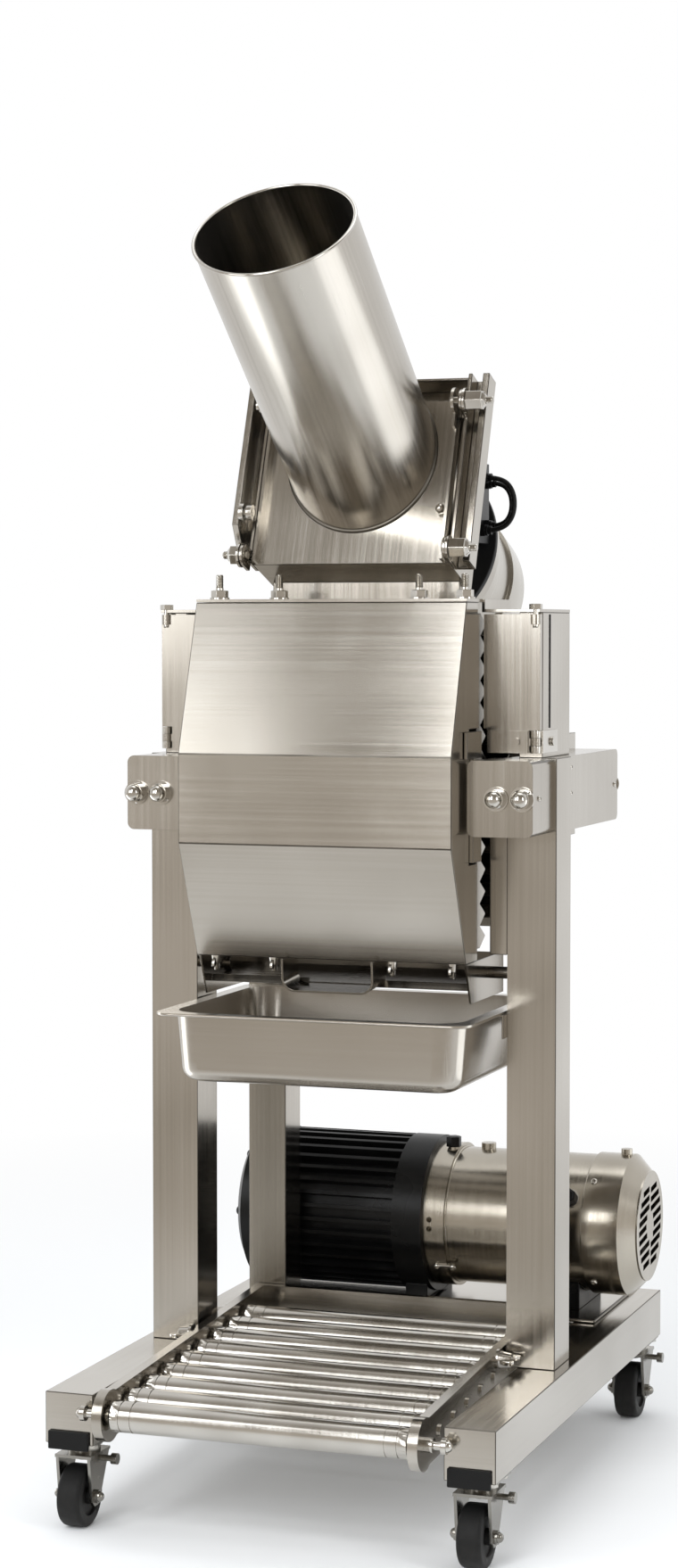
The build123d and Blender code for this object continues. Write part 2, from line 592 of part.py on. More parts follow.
with BuildPart() as pan_space:
    with BuildSketch(Plane(origin=(0, PAN_Y, PAN_Z - PAN_D + PAN_WALL))):
        RectangleRounded(PAN_W - 2 * PAN_HOLLOW, PAN_L - 2 * PAN_HOLLOW, PAN_ROUND - PAN_WALL)
    extrude(amount=PAN_D, taper=-5.0)
    fillet(pan_space.edges().group_by(Axis.Z)[0], PAN_FOOT - PAN_WALL)

with BuildPart() as pan:
    with BuildSketch(Plane(origin=(0, PAN_Y, PAN_Z - PAN_D))):
        RectangleRounded(PAN_W - 2 * PAN_IN, PAN_L - 2 * PAN_IN, PAN_ROUND)
    extrude(amount=PAN_D, taper=-5.0)
    fillet(pan.edges().group_by(Axis.Z)[0], PAN_FOOT)
    with BuildSketch(Plane(origin=(0, PAN_Y, PAN_Z - 2))):
        RectangleRounded(PAN_W, PAN_L, 16.0)
    extrude(amount=2.0)
    add(pan_space.part, mode=Mode.SUBTRACT)
save("pan", pan)

RUNNER_IN = PAN_W / 2 - PAN_LAP
RUNNER_END = PAN_Y + PAN_L / 2 - 4
with BuildPart() as pan_runners:
    for s in SIDES:
        block(s * RUNNER_IN, s * COL_IN, COL_FRONT - 12, RUNNER_END, PAN_Z - 4.3, PAN_Z - 2.3)
        block(s * (COL_IN - SHEET), s * COL_IN, COL_FRONT - 12, RUNNER_END, PAN_Z - 26, PAN_Z - 2.3)
save("pan_runners", pan_runners)

# Grinder
TUBE_DIR = Vector(0, -math.sin(math.radians(TUBE_LEAN)), math.cos(math.radians(TUBE_LEAN)))
RIM_DIR = Vector(0, -math.sin(math.radians(RIM_LEAN)), math.cos(math.radians(RIM_LEAN)))
RIM_AT = Vector(*HOOD_AT) + TUBE_DIR * TUBE_LEN
TUBE_FOOT = tuple(Vector(*HOOD_AT) - TUBE_DIR * 60)
TUBE_END = tuple(Vector(*HOOD_AT) + TUBE_DIR * (TUBE_LEN + 60))
TUBE_SEAT = tuple(Vector(*HOOD_AT) + TUBE_DIR * 27)
with BuildPart() as collar:
    lean_block(-HOOD_HALF, HOOD_HALF, 0, HOOD_HIGH, -SHEET, 0)
    rod(TUBE_FOOT, TUBE_END, TUBE_R + 5, Mode.INTERSECT)

with BuildPart() as feed_hood:
    rod(TUBE_FOOT, TUBE_END, TUBE_R)
    split(bisect_by=Plane(origin=tuple(RIM_AT), z_dir=tuple(RIM_DIR)), keep=Keep.BOTTOM)
    split(bisect_by=lean_plane(0, -SHEET), keep=Keep.TOP)
    lean_block(-HOOD_HALF, HOOD_HALF, HOOD_LOW, HOOD_STEP, -SHEET, 0)
    add(collar.part)
    for s in SIDES:
        lean_block(s * (HOOD_HALF - 3), s * HOOD_HALF, HOOD_LOW, HOOD_STEP, 0, 12)
        rod(lean(s * (HOOD_HALF - 3), PIN_V, PIN_W), lean(s * HOOD_HALF, PIN_V, PIN_W), 13)
        lean_block(s * (HOOD_HALF - 3), s * HOOD_HALF, PIN_V - 27, PIN_V, 0, PIN_W)
    rod(lean(-HOOD_HALF - 1, PIN_V, PIN_W), lean(HOOD_HALF + 1, PIN_V, PIN_W), 4.0 + RUN, Mode.SUBTRACT)
    lean_rod(HOOD_HALF - 10, -60, 0, 4, 6.5)
    dome(lean(HOOD_HALF - 10, -60, 4), 5.0)
    rod(TUBE_FOOT, TUBE_END, TUBE_R - SHEET, Mode.SUBTRACT)
    rod(TUBE_FOOT, TUBE_SEAT, TUBE_R - SHEET + 0.8, Mode.SUBTRACT)
save("feed_hood", feed_hood)

with BuildPart() as grinder_housing:
    lean_block(-HOUSE_HALF, HOUSE_HALF, HOOD_LOW, HOUSE_TOP, HOUSE_BACK, -3)
    lean_block(WALL - HOUSE_HALF, HOUSE_HALF - WALL, HOOD_LOW + WALL, HOUSE_TOP - WALL,
               HOUSE_BACK + WALL, -2, Mode.SUBTRACT)
    lean_rod(0, GRIND_V, HOUSE_BACK, -150, DRUM_R)
    lean_rod(0, GRIND_V, HOUSE_BACK, -147, DRUM_R - WALL, Mode.SUBTRACT)
    lean_rod(0, GRIND_V, HOUSE_BACK + 5, -152, 14, Mode.SUBTRACT)
    lean_block(-SLOT_HALF, SLOT_HALF, HOOD_LOW - 1, HOOD_LOW + 4, SLOT_W[0], SLOT_W[1], Mode.SUBTRACT)
save("grinder_housing", grinder_housing)

# Arms beside the housing, the bridge behind the hood's top edge, and the neck on the top plate
BOTTOM_CUT = Plane(origin=lean(0, HOOD_LOW, 0), z_dir=tuple(LEAN_V))
NECK = (CHUTE_Y[0] - WALL, CHUTE_Y[1] + WALL)
with BuildPart() as neck:
    block(-SLOT_HALF - 4, SLOT_HALF + 4, NECK[0], NECK[1], TOP_FACE, 940)
    block(-SLOT_HALF, SLOT_HALF, CHUTE_Y[0], CHUTE_Y[1], TOP_Z, 950, Mode.SUBTRACT)
    split(bisect_by=BOTTOM_CUT, keep=Keep.BOTTOM)

WING = [(ARM_TOP, -20), (ARM_TOP, WING_FRONT), (-82, WING_FRONT), (-100, 4), (-100, -20)]
with BuildPart() as wing:
    slab([lean(0, v, w)[1:] for v, w in WING], -WING_OUT, 7 - WING_OUT)

with BuildPart() as grinder_supports:
    lean_block(-WING_OUT, -HOUSE_HALF, -100, ARM_TOP, -20, -16)
    lean_block(HOUSE_HALF, ARM_OUT, HOOD_LOW, ARM_TOP, -20, -16)
    lean_block(ARM_OUT - 7, ARM_OUT, HOOD_LOW, ARM_TOP, -20, 4)
    add(wing.part)
    for s, low in zip(SIDES, CLAMP_V):
        lean_block(s * HOUSE_HALF, s * (HOUSE_HALF + 4), HOOD_LOW, ARM_TOP, -20, 4)
        for v in (PIN_V, low):
            lean_block(s * HOUSE_HALF, s * (HOUSE_HALF + 4), v - 11, v + 11, 4, PIN_W)
            rod(lean(s * HOUSE_HALF, v, PIN_W), lean(s * (HOUSE_HALF + 4), v, PIN_W), 11)
            rod(lean(s * (HOUSE_HALF - 1), v, PIN_W), lean(s * (HOUSE_HALF + 5), v, PIN_W), 4.0 + GAP,
                Mode.SUBTRACT)
        lean_block(s * (HOUSE_HALF - 3), s * HOUSE_HALF, HOUSE_TOP, ARM_TOP, -37, -4)
    lean_block(-HOUSE_HALF, HOUSE_HALF, HOUSE_TOP, ARM_TOP, -37, -34)
    lean_block(-HOUSE_HALF, HOUSE_HALF, ARM_TOP - 3, ARM_TOP, -37, -6)
    add(neck.part)
save("grinder_supports", grinder_supports)

with BuildPart() as hood_pins:
    rod(lean(-95, PIN_V, PIN_W), lean(-112, PIN_V, PIN_W), 4.0)
    rod(lean(-108, PIN_V, PIN_W), lean(-112, PIN_V, PIN_W), 7.0)
    rod(lean(95, PIN_V, PIN_W), lean(138, PIN_V, PIN_W), 4.0)
    rod(lean(101.5, CLAMP_V[1], PIN_W), lean(138, CLAMP_V[1], PIN_W), 4.0)
    for v in (PIN_V, CLAMP_V[1]):
        rod(lean(108, v, PIN_W), lean(110.5, v, PIN_W), 12.5)
        rod(lean(110.5, v, PIN_W), lean(127, v, PIN_W), 9.5)
        rod(lean(127, v, PIN_W), lean(131, v, PIN_W), 9.5, tip=6.0)
    rod(lean(-101.5, CLAMP_V[0], PIN_W), lean(-128, CLAMP_V[0], PIN_W), 4.0)
    rod(lean(-108, CLAMP_V[0], PIN_W), lean(-110.5, CLAMP_V[0], PIN_W), 12.5)
    rod(lean(-110.5, CLAMP_V[0], PIN_W), lean(-119, CLAMP_V[0], PIN_W), 9.5)
    rod(lean(-119, CLAMP_V[0], PIN_W), lean(-122, CLAMP_V[0], PIN_W), 9.5, tip=6.0)
    rod(lean(-101.5, INNER_CLAMP_V, PIN_W), lean(7 - WING_OUT, INNER_CLAMP_V, PIN_W), 4.0)
    rod(lean(-102, INNER_CLAMP_V, PIN_W), lean(-108, INNER_CLAMP_V, PIN_W), 8.0)
    rod(lean(-110, INNER_CLAMP_V, PIN_W), lean(7 - WING_OUT, INNER_CLAMP_V, PIN_W), 10.0)
save("hood_pins", hood_pins)

with BuildPart() as cutter:
    lean_rod(0, GRIND_V, -22, -14, 72)
    lean_rod(0, GRIND_V, -290, -8, 10)
    lean_rod(0, GRIND_V, -14, -9, 22)
    for k in range(12):
        a = math.radians(30 * k)
        for r in (34.0, 50.0, 65.0):
            b = a + r * 0.012
            at_v = GRIND_V + r * math.sin(b)
            lean_rod(r * math.cos(b), at_v, -14, -11, 3.2, Mode.ADD, 1.2)
    lean_rod(0, GRIND_V, -284, -276, 70)
    for k in range(8):
        with Locations(lean_plane(GRIND_V, -269)):
            with PolarLocations(0, 1, 45 * k):
                with Locations((46, 0, 0)):
                    Box(44, 3, 16)
save("cutter", cutter)

with BuildPart() as grinder_gasket:
    lean_rod(0, GRIND_V, -150, -158, 102)
    lean_rod(0, GRIND_V, -149, -159, 60, Mode.SUBTRACT)
save("grinder_gasket", grinder_gasket)

with BuildPart() as grinder_motor:
    lean_rod(0, GRIND_V, -158, -180, 98)
    lean_rod(0, GRIND_V, -180, -192, 98, tip=88)
    lean_rod(0, GRIND_V, -192, -256, 88)
    lean_rod(0, GRIND_V, -150.5, -258, 10 + RUN, Mode.SUBTRACT)
save("grinder_motor", grinder_motor)

with BuildPart() as grinder_fan_cover:
    lean_rod(0, GRIND_V, -256, -300, 92)
    lean_rod(0, GRIND_V, -256, -297, 89, Mode.SUBTRACT)
    for k in range(6):
        v = GRIND_V - 50 + 20 * k
        lean_block(-50, 50, v - 3, v + 3, -305, -290, Mode.SUBTRACT)
    lean_rod(0, GRIND_V, -256, -259, 91)
    lean_rod(0, GRIND_V, -255, -260, 86, Mode.SUBTRACT)
save("grinder_fan_cover", grinder_fan_cover)

# Junction box with glands and the two motor leads
with BuildPart() as junction_box:
    block(60, 96, 64, 102, 956, 1038)
    lean_rod(0, GRIND_V, -10, -149, DRUM_R, Mode.SUBTRACT)
    for line in (LEAD_A, LEAD_B):
        for x, y, z in (line[0], line[-1]):
            rod((96, y, z), (103, y, z), 5.5)
            rod((103, y, z), (107, y, z), 4.4)
            rod((100, y, z), (110, y, z), LEAD_R + GAP, Mode.SUBTRACT)
save("junction_box", junction_box)

for tag, line in (("a", LEAD_A), ("b", LEAD_B)):
    spans = [(Vector(*q) - Vector(*p)).length for p, q in zip(line, line[1:])]
    radii = []
    for i in range(1, len(line) - 1):
        before = Vector(*line[i]) - Vector(*line[i - 1])
        after = Vector(*line[i + 1]) - Vector(*line[i])
        half = math.radians(before.get_angle(after) / 2)
        radii.append(0.45 * min(spans[i - 1], spans[i]) / math.tan(half))
    print("motor lead", tag, "radii", [round(r, 1) for r in radii])
    with BuildPart() as lead:
        with BuildLine() as route:
            FilletPolyline(*line, radius=min(radii))
        with BuildSketch(Plane(origin=route.line @ 0, z_dir=route.line % 0)):
            Circle(LEAD_R)
        sweep()
    print("motor lead", tag, "length", round(sum(e.length for e in route.edges()), 1))
    save(f"motor_lead_{tag}", lead)

# Power unit
with BuildPart() as power_feet:
    for x0, x1 in ((PUMP_FLANGE + 4, PUMP_END - 4), (MOTOR_END - 32, MOTOR_END - 10)):
        block(x0, x1, PU_Y - 46, PU_Y + 46, RAIL_TOP + 4, RAIL_TOP + 40)
    rod((MOTOR_END - 60, PU_Y, PU_Z), (MOTOR_END, PU_Y, PU_Z), PU_R, Mode.SUBTRACT)
    rod((PUMP_FLANGE - 5, PU_Y, PU_Z), (PUMP_END + 5, PU_Y, PU_Z), PUMP_R, Mode.SUBTRACT)
save("power_feet", power_feet)

with BuildPart() as power_motor:
    rod((PUMP_END, PU_Y, PU_Z), (RING_END, PU_Y, PU_Z), 78)
    rod((RING_END, PU_Y, PU_Z), (MOTOR_END, PU_Y, PU_Z), PU_R)
    rod((RING_END + 28, PU_Y, PU_Z + 70), (RING_END + 28, PU_Y, PU_Z + 80), 8)
    rod((RING_END - 6, PU_Y - 20, PU_Z + 72), (RING_END - 6, PU_Y - 20, PU_Z + 86), 6)
    for z in (PU_Z - 4, PU_Z + 6):
        rod((PUMP_END + 8, PU_Y - 80, z), (PUMP_END + 8, PU_Y - 60, z), 3, Mode.SUBTRACT)
    rod((100, PU_Y, PU_Z), (MOTOR_END + 1, PU_Y, PU_Z), 10 + RUN, Mode.SUBTRACT)
save("power_motor", power_motor)

with BuildPart() as pump_housing:
    rod((PUMP_CAP, PU_Y, PU_Z), (PUMP_FLANGE, PU_Y, PU_Z), 74)
    fin_mid = (PUMP_CAP + PUMP_FLANGE) / 2
    with Locations(Plane(origin=(fin_mid, PU_Y, PU_Z), x_dir=(0, 1, 0), z_dir=(1, 0, 0))):
        with PolarLocations(0, 36):
            with Locations((78, 0, 0)):
                Box(13, 4, PUMP_FLANGE - PUMP_CAP)
    rod((PUMP_FLANGE, PU_Y, PU_Z), (PUMP_END, PU_Y, PU_Z), PUMP_R)
    rod((PU_LEFT + 8, PU_Y, PU_Z), (PUMP_CAP, PU_Y, PU_Z), PUMP_R + 1)
    rod((PU_LEFT, PU_Y, PU_Z), (PU_LEFT + 8, PU_Y, PU_Z), 72, tip=PUMP_R)
    rod((PU_LEFT - 1, PU_Y, PU_Z), (PU_LEFT + 4, PU_Y, PU_Z), 50, Mode.SUBTRACT)
save("pump_housing", pump_housing)

FAN_AT = MOTOR_END + 14
with BuildPart() as power_fan:
    rod((102, PU_Y, PU_Z), (FAN_AT + 36, PU_Y, PU_Z), 10)
    rod((FAN_AT, PU_Y, PU_Z), (FAN_AT + 5, PU_Y, PU_Z), 60)
    rod((FAN_AT + 5, PU_Y, PU_Z), (FAN_AT + 33, PU_Y, PU_Z), 18)
    with Locations(Plane(origin=(FAN_AT + 16, PU_Y, PU_Z), x_dir=(0, 1, 0), z_dir=(1, 0, 0))):
        with PolarLocations(0, 8):
            with Locations((34, 0, 0)):
                Box(40, 3, 24)
save("power_fan", power_fan)

FACE_R = 59.0
SLOT_ROWS = 9
SLOT_PITCH = 9.8
SLOT_TALL = 6.2
SLOT_FIELD = 49.0
SLOT_HUB = 16.0
SLOT_BAR = 3.0
SLOT_TILT = 6.0
with BuildPart() as fan_cowl:
    rod((MOTOR_END, PU_Y, PU_Z), (CONE_AT, PU_Y, PU_Z), 76)
    rod((CONE_AT, PU_Y, PU_Z), (PU_RIGHT - 2, PU_Y, PU_Z), 76, tip=FACE_R)
    rod((PU_RIGHT - 2, PU_Y, PU_Z), (PU_RIGHT, PU_Y, PU_Z), FACE_R)
    rod((MOTOR_END - 1, PU_Y, PU_Z), (CONE_AT, PU_Y, PU_Z), 73, Mode.SUBTRACT)
    rod((CONE_AT, PU_Y, PU_Z), (PU_RIGHT - 4, PU_Y, PU_Z), 73, Mode.SUBTRACT, tip=FACE_R - SHEET)
    rod((MOTOR_END, PU_Y, PU_Z), (MOTOR_END + 6, PU_Y, PU_Z), 74.5)
    rod((MOTOR_END - 1, PU_Y, PU_Z), (MOTOR_END + 7, PU_Y, PU_Z), 66, Mode.SUBTRACT)
    for k in range(SLOT_ROWS):
        rise = (k - (SLOT_ROWS - 1) / 2) * SLOT_PITCH
        outer = math.sqrt(SLOT_FIELD**2 - rise**2)
        inner = math.sqrt(max(SLOT_HUB**2 - rise**2, SLOT_BAR**2))
        for s in SIDES:
            middle = (PU_RIGHT - 2, PU_Y + s * (outer + inner) / 2, PU_Z + rise)
            with Locations(Location(middle, (SLOT_TILT, 0, 0))):
                Box(14, outer - inner, SLOT_TALL, mode=Mode.SUBTRACT)
    rod((CONE_AT - 8, PU_Y, PU_Z + 72), (CONE_AT - 8, PU_Y, PU_Z + 82), 6)
save("fan_cowl", fan_cowl)
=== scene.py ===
"""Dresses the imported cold-press juicer: finishes, small fittings, motor leads, light and camera.

Everything is in metres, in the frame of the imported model: X to the right, Y to the back, Z up.
"""
import json
import logging
import math
from dataclasses import dataclass, field
from enum import Enum
from functools import cache

import bpy
from mathutils import Euler, Matrix, Vector

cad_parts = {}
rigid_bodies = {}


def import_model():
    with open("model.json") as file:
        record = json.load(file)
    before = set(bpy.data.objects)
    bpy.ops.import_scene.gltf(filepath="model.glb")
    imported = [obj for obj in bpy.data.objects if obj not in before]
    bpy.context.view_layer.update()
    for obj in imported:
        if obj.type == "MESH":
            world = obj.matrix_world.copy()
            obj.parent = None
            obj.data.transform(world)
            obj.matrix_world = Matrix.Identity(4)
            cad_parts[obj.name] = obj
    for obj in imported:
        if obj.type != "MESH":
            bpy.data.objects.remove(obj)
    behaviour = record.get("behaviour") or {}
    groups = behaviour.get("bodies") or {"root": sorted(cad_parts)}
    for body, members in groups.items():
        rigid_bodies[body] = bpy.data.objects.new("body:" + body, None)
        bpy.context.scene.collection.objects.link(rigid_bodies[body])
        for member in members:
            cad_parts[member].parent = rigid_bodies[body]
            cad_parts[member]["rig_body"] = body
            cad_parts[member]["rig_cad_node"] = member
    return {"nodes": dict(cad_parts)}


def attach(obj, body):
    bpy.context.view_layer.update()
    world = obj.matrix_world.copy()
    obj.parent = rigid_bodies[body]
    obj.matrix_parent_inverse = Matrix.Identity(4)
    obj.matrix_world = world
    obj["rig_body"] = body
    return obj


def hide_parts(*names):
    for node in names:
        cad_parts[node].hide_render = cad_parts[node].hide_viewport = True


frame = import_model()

LOG = logging.getLogger("juicer")
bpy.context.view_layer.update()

Point = tuple[float, float, float]
Color = tuple[float, float, float]
Span = tuple[float, float]
Piece = bpy.types.Object
Socket = bpy.types.NodeSocket

UP: Point = (0.0, 0.0, 1.0)
DOWN: Point = (0.0, 0.0, -1.0)
WHITE: Color = (1.0, 1.0, 1.0)
WHOLE: Span = (0.0, 1.0)
NOISE: Span = (0.3, 0.7)
QUARTER_TURN = math.pi / 2
FULL_ROUND = 96
HEXAGON = 6


class Body(str, Enum):
    """Rigid bodies that carry the added pieces."""

    FRAME = "frame"
    HOOD = "hood"
    COVER = "cover"
    PAN = "pan"


class Slot(str, Enum):
    """Material slots of the record."""

    STAINLESS = "stainless"
    POLISHED = "polished"
    BLACK_PAINT = "black_paint"
    BLACK_RUBBER = "black_rubber"
    LEAD_JACKET = "lead_jacket"


class Grain(Enum):
    """Direction of the brush marks: the pattern's stretch on X, Y and Z, and its tilt about X in degrees."""

    ALONG_X = ((2.0, 260.0, 260.0), 0.0)
    ALONG_Y = ((260.0, 2.0, 260.0), 0.0)
    ALONG_Z = ((260.0, 260.0, 2.0), 0.0)
    UP_HOOD = ((260.0, 260.0, 2.0), 20.0)
    DOWN_TUBE = ((300.0, 300.0, 3.0), -52.0)
    TURNED_X = ((330.0, 6.0, 6.0), 0.0)
    TURNED_HOOD = ((6.0, 330.0, 6.0), 20.0)
    CAST = ((90.0, 90.0, 90.0), 0.0)

    @property
    def axle(self) -> str:
        """Axis that the highlights turn about, so that they spread across the brush marks."""
        return {"ALONG_X": "X", "ALONG_Y": "Y"}.get(self.name, "Z")

    @property
    def across(self) -> int | None:
        """Axis whose faces the brush marks run into, or None where there is no such axis."""
        return {"ALONG_X": 0, "ALONG_Y": 1, "ALONG_Z": 2}.get(self.name)


class Side(Enum):
    """Left and right of the machine, as the sign of X."""

    LEFT = -1
    RIGHT = 1


class NodeBoard:
    """A node tree under construction, with short calls for its nodes and links."""

    def __init__(self, tree: bpy.types.NodeTree) -> None:
        """Take up a node tree."""
        self.tree = tree

    def add(self, kind: str, **values: object) -> bpy.types.Node:
        """Add a node and set its plain attributes.

        Args:
            kind: the node's type.
            values: attribute name to value.

        Returns:
            The new node.
        """
        node = self.tree.nodes.new(kind)
        for key, value in values.items():
            setattr(node, key, value)
        return node

    def join(self, start: Socket, end: Socket) -> None:
        """Link two sockets."""
        self.tree.links.new(start, end)

    def feed(self, value: Socket | float | Color, end: Socket) -> None:
        """Give an input a link, a plain number or a plain colour.

        Args:
            value: the socket to link, or what to set.
            end: the input.
        """
        if isinstance(value, Socket):
            self.join(value, end)
        else:
            end.default_value = (*value, 1.0) if isinstance(value, tuple) else value

    def fill(self, node: bpy.types.Node, **values: object) -> None:
        """Set plain numbers on a node's own sockets, with underscores for spaces in their names."""
        for key, value in values.items():
            node.inputs[key.replace("_", " ")].default_value = value

    def parts(self, vector: Socket) -> bpy.types.NodeOutputs:
        """Split a vector into X, Y and Z."""
        node = self.add("ShaderNodeSeparateXYZ")
        self.join(vector, node.inputs["Vector"])
        return node.outputs

    def noise(self, vector: Socket, scale: Socket | float, **values: float) -> Socket:
        """Noise over a vector.

        Args:
            vector: the place.
            scale: waves per metre.
            values: other inputs of the noise.

        Returns:
            The noise, mostly within NOISE.
        """
        node = self.add("ShaderNodeTexNoise")
        self.join(vector, node.inputs["Vector"])
        self.feed(scale, node.inputs["Scale"])
        self.fill(node, **values)
        return node.outputs["Fac"]

    def reckon(self, operation: str, first: Socket | float, second: Socket | float,
               clamp: bool = False) -> Socket:
        """Work out a value from two others.

        Args:
            operation: the kind of sum.
            first: socket or number.
            second: socket or number.
            clamp: true where the result is held between 0 and 1.

        Returns:
            The result.
        """
        node = self.add("ShaderNodeMath", operation=operation, use_clamp=clamp)
        self.feed(first, node.inputs[0])
        self.feed(second, node.inputs[1])
        return node.outputs["Value"]

    def sum(self, first: Socket, second: Socket) -> Socket:
        """Add two varying values, held between 0 and 1."""
        return self.reckon("ADD", first, second, clamp=True)

    def spread(self, value: Socket, result: Span, span: Span = NOISE) -> Socket:
        """Map a varying value to a range.

        Args:
            value: the socket to map.
            result: what the ends of the span become.
            span: lower and upper end of the value.

        Returns:
            The mapped socket.
        """
        node = self.add("ShaderNodeMapRange")
        self.fill(node, From_Min=span[0], From_Max=span[1], To_Min=result[0], To_Max=result[1])
        self.join(value, node.inputs["Value"])
        return node.outputs["Result"]

    def mix(self, factor: Socket, low: Socket | Color, high: Socket | Color) -> Socket:
        """Blend two colours by a varying factor.

        Args:
            factor: socket from 0 to 1.
            low: colour or socket at 0.
            high: colour or socket at 1.

        Returns:
            The blended colour socket.
        """
        node = self.add("ShaderNodeMix", data_type="RGBA")
        self.join(factor, node.inputs["Factor"])
        for key, value in (("A", low), ("B", high)):
            self.feed(value, next(s for s in node.inputs if s.name == key and s.type == "RGBA"))
        return next(s for s in node.outputs if s.type == "RGBA")

    def seen(self) -> Socket:
        """1 for the rays that show the background, which are camera, glossy and transmission rays."""
        path = self.add("ShaderNodeLightPath").outputs
        return self.sum(self.sum(path["Is Camera Ray"], path["Is Glossy Ray"]), path["Is Transmission Ray"])

    def blend(self, factor: Socket, low: Socket, high: Socket) -> Socket:
        """Blend two shaders.

        Args:
            factor: socket from 0 to 1.
            low: shader at 0.
            high: shader at 1.

        Returns:
            The blended shader.
        """
        node = self.add("ShaderNodeMixShader")
        for index, start in enumerate((factor, low, high)):
            self.join(start, node.inputs[index])
        return node.outputs["Shader"]


class NodeShop:
    """Shader node groups that several finishes share, each built once."""

    smudge_edge: Span = (0.48, 0.74)
    speck_scale = 160.0

    @staticmethod
    def _start(name: str, inputs: dict[str, float | None], outputs: tuple[str, ...]
               ) -> tuple[NodeBoard, bpy.types.NodeOutputs, bpy.types.NodeInputs]:
        """Open a group with named sockets.

        Args:
            name: the group's name.
            inputs: socket name to its default number, or to None for a vector.
            outputs: names of the values that it puts out.

        Returns:
            The group's board, what it is given and what it puts out.
        """
        tree = bpy.data.node_groups.new(name, "ShaderNodeTree")
        for socket, value in inputs.items():
            kind = "NodeSocketVector" if value is None else "NodeSocketFloat"
            made = tree.interface.new_socket(name=socket, in_out="INPUT", socket_type=kind)
            if value is not None:
                made.default_value = value
        for socket in outputs:
            tree.interface.new_socket(name=socket, in_out="OUTPUT", socket_type="NodeSocketFloat")
        board = NodeBoard(tree)
        return board, board.add("NodeGroupInput").outputs, board.add("NodeGroupOutput").inputs

    @staticmethod
    @cache
    def brushed_grain() -> bpy.types.NodeTree:
        """Brush marks: a fine streak along the stretched vector, and a slow random change of tone over the
        place. Where it sets a base colour, that tone is also painted sheen: lighter and darker patches in
        place of reflections.
        """
        board, given, result = NodeShop._start(
            "brushed_grain", {"Vector": None, "Place": None, "Patch Scale": 6.0}, ("Streak", "Tone_and_painted_sheen"))
        board.join(board.noise(given["Vector"], 1.0, Detail=6.0, Roughness=0.65), result["Streak"])
        board.join(board.noise(given["Place"], given["Patch Scale"], Detail=1.0), result["Tone_and_painted_sheen"])
        return board.tree

    @staticmethod
    @cache
    def smudges() -> bpy.types.NodeTree:
        """Wiped patches and finger marks: a soft mask that is zero over most of a surface."""
        board, given, result = NodeShop._start("smudges", {"Vector": None, "Size": 9.0}, ("Mask",))
        cloud = board.noise(given["Vector"], given["Size"], Detail=4.0, Distortion=0.8)
        board.join(board.spread(cloud, WHOLE, NodeShop.smudge_edge), result["Mask"])
        return board.tree

    @staticmethod
    @cache
    def floor_dust() -> bpy.types.NodeTree:
        """Dust that settles on what is near the floor: a mask that fades with height."""
        board, given, result = NodeShop._start("floor_dust", {"Vector": None, "Reach": 0.06}, ("Mask",))
        height = board.reckon("DIVIDE", board.parts(given["Vector"])["Z"], given["Reach"])
        near = board.reckon("SUBTRACT", 1.0, height, clamp=True)
        specks = board.noise(given["Vector"], NodeShop.speck_scale, Detail=5.0)
        board.join(board.reckon("MULTIPLY", near, specks), result["Mask"])
        return board.tree


class Sheet(NodeBoard):
    """One material under construction."""

    def __init__(self, name: str) -> None:
        """Start a node material with its surface shader."""
        self.material = bpy.data.materials.new(name)
        self.material.use_nodes = True
        super().__init__(self.material.node_tree)
        self.shader = self.tree.nodes["Principled BSDF"]
        self.place = self.add("ShaderNodeTexCoord").outputs["Object"]

    def group(self, tree: bpy.types.NodeTree, vector: Socket, **values: float) -> bpy.types.NodeOutputs:
        """Place a shared group in this material.

        Args:
            tree: the group.
            vector: what feeds its Vector socket; a Place socket gets the object coordinates.
            values: other inputs, with underscores for spaces.

        Returns:
            What the group puts out.
        """
        node = self.add("ShaderNodeGroup", node_tree=tree)
        self.join(vector, node.inputs["Vector"])
        if "Place" in node.inputs:
            self.join(self.place, node.inputs["Place"])
        self.fill(node, **values)
        return node.outputs

    def stretched(self, grain: Grain) -> Socket:
        """Object coordinates turned and stretched along a grain.

        Args:
            grain: the brush direction.

        Returns:
            The socket with the stretched coordinates.
        """
        scale, tilt = grain.value
        turn = self.add("ShaderNodeMapping", vector_type="POINT")
        turn.inputs["Rotation"].default_value = (math.radians(tilt), 0.0, 0.0)
        stretch = self.add("ShaderNodeMapping", vector_type="POINT")
        stretch.inputs["Scale"].default_value = scale
        self.join(self.place, turn.inputs["Vector"])
        self.join(turn.outputs["Vector"], stretch.inputs["Vector"])
        return stretch.outputs["Vector"]

    def marks(self, grain: Grain, patch_scale: float = 6.0) -> bpy.types.NodeOutputs:
        """Brush marks along a grain, with a change of tone in patches that is partly painted sheen."""
        return self.group(NodeShop.brushed_grain(), self.stretched(grain), Patch_Scale=patch_scale)

    def link(self, key: str, start: Socket) -> None:
        """Link a varying value or colour to an input of the shader."""
        self.join(start, self.shader.inputs[key])

    def bump(self, height: Socket, depth: float, strength: float = 1.0) -> None:
        """Raise the surface by a varying height.

        Args:
            height: the varying height.
            depth: metres at its peak.
            strength: share of the effect.
        """
        node = self.add("ShaderNodeBump")
        self.fill(node, Distance=depth, Strength=strength)
        self.join(height, node.inputs["Height"])
        self.link("Normal", node.outputs["Normal"])

    def set(self, **values: object) -> None:
        """Set plain numbers and colours on the shader's own sockets."""
        self.fill(self.shader, **values)


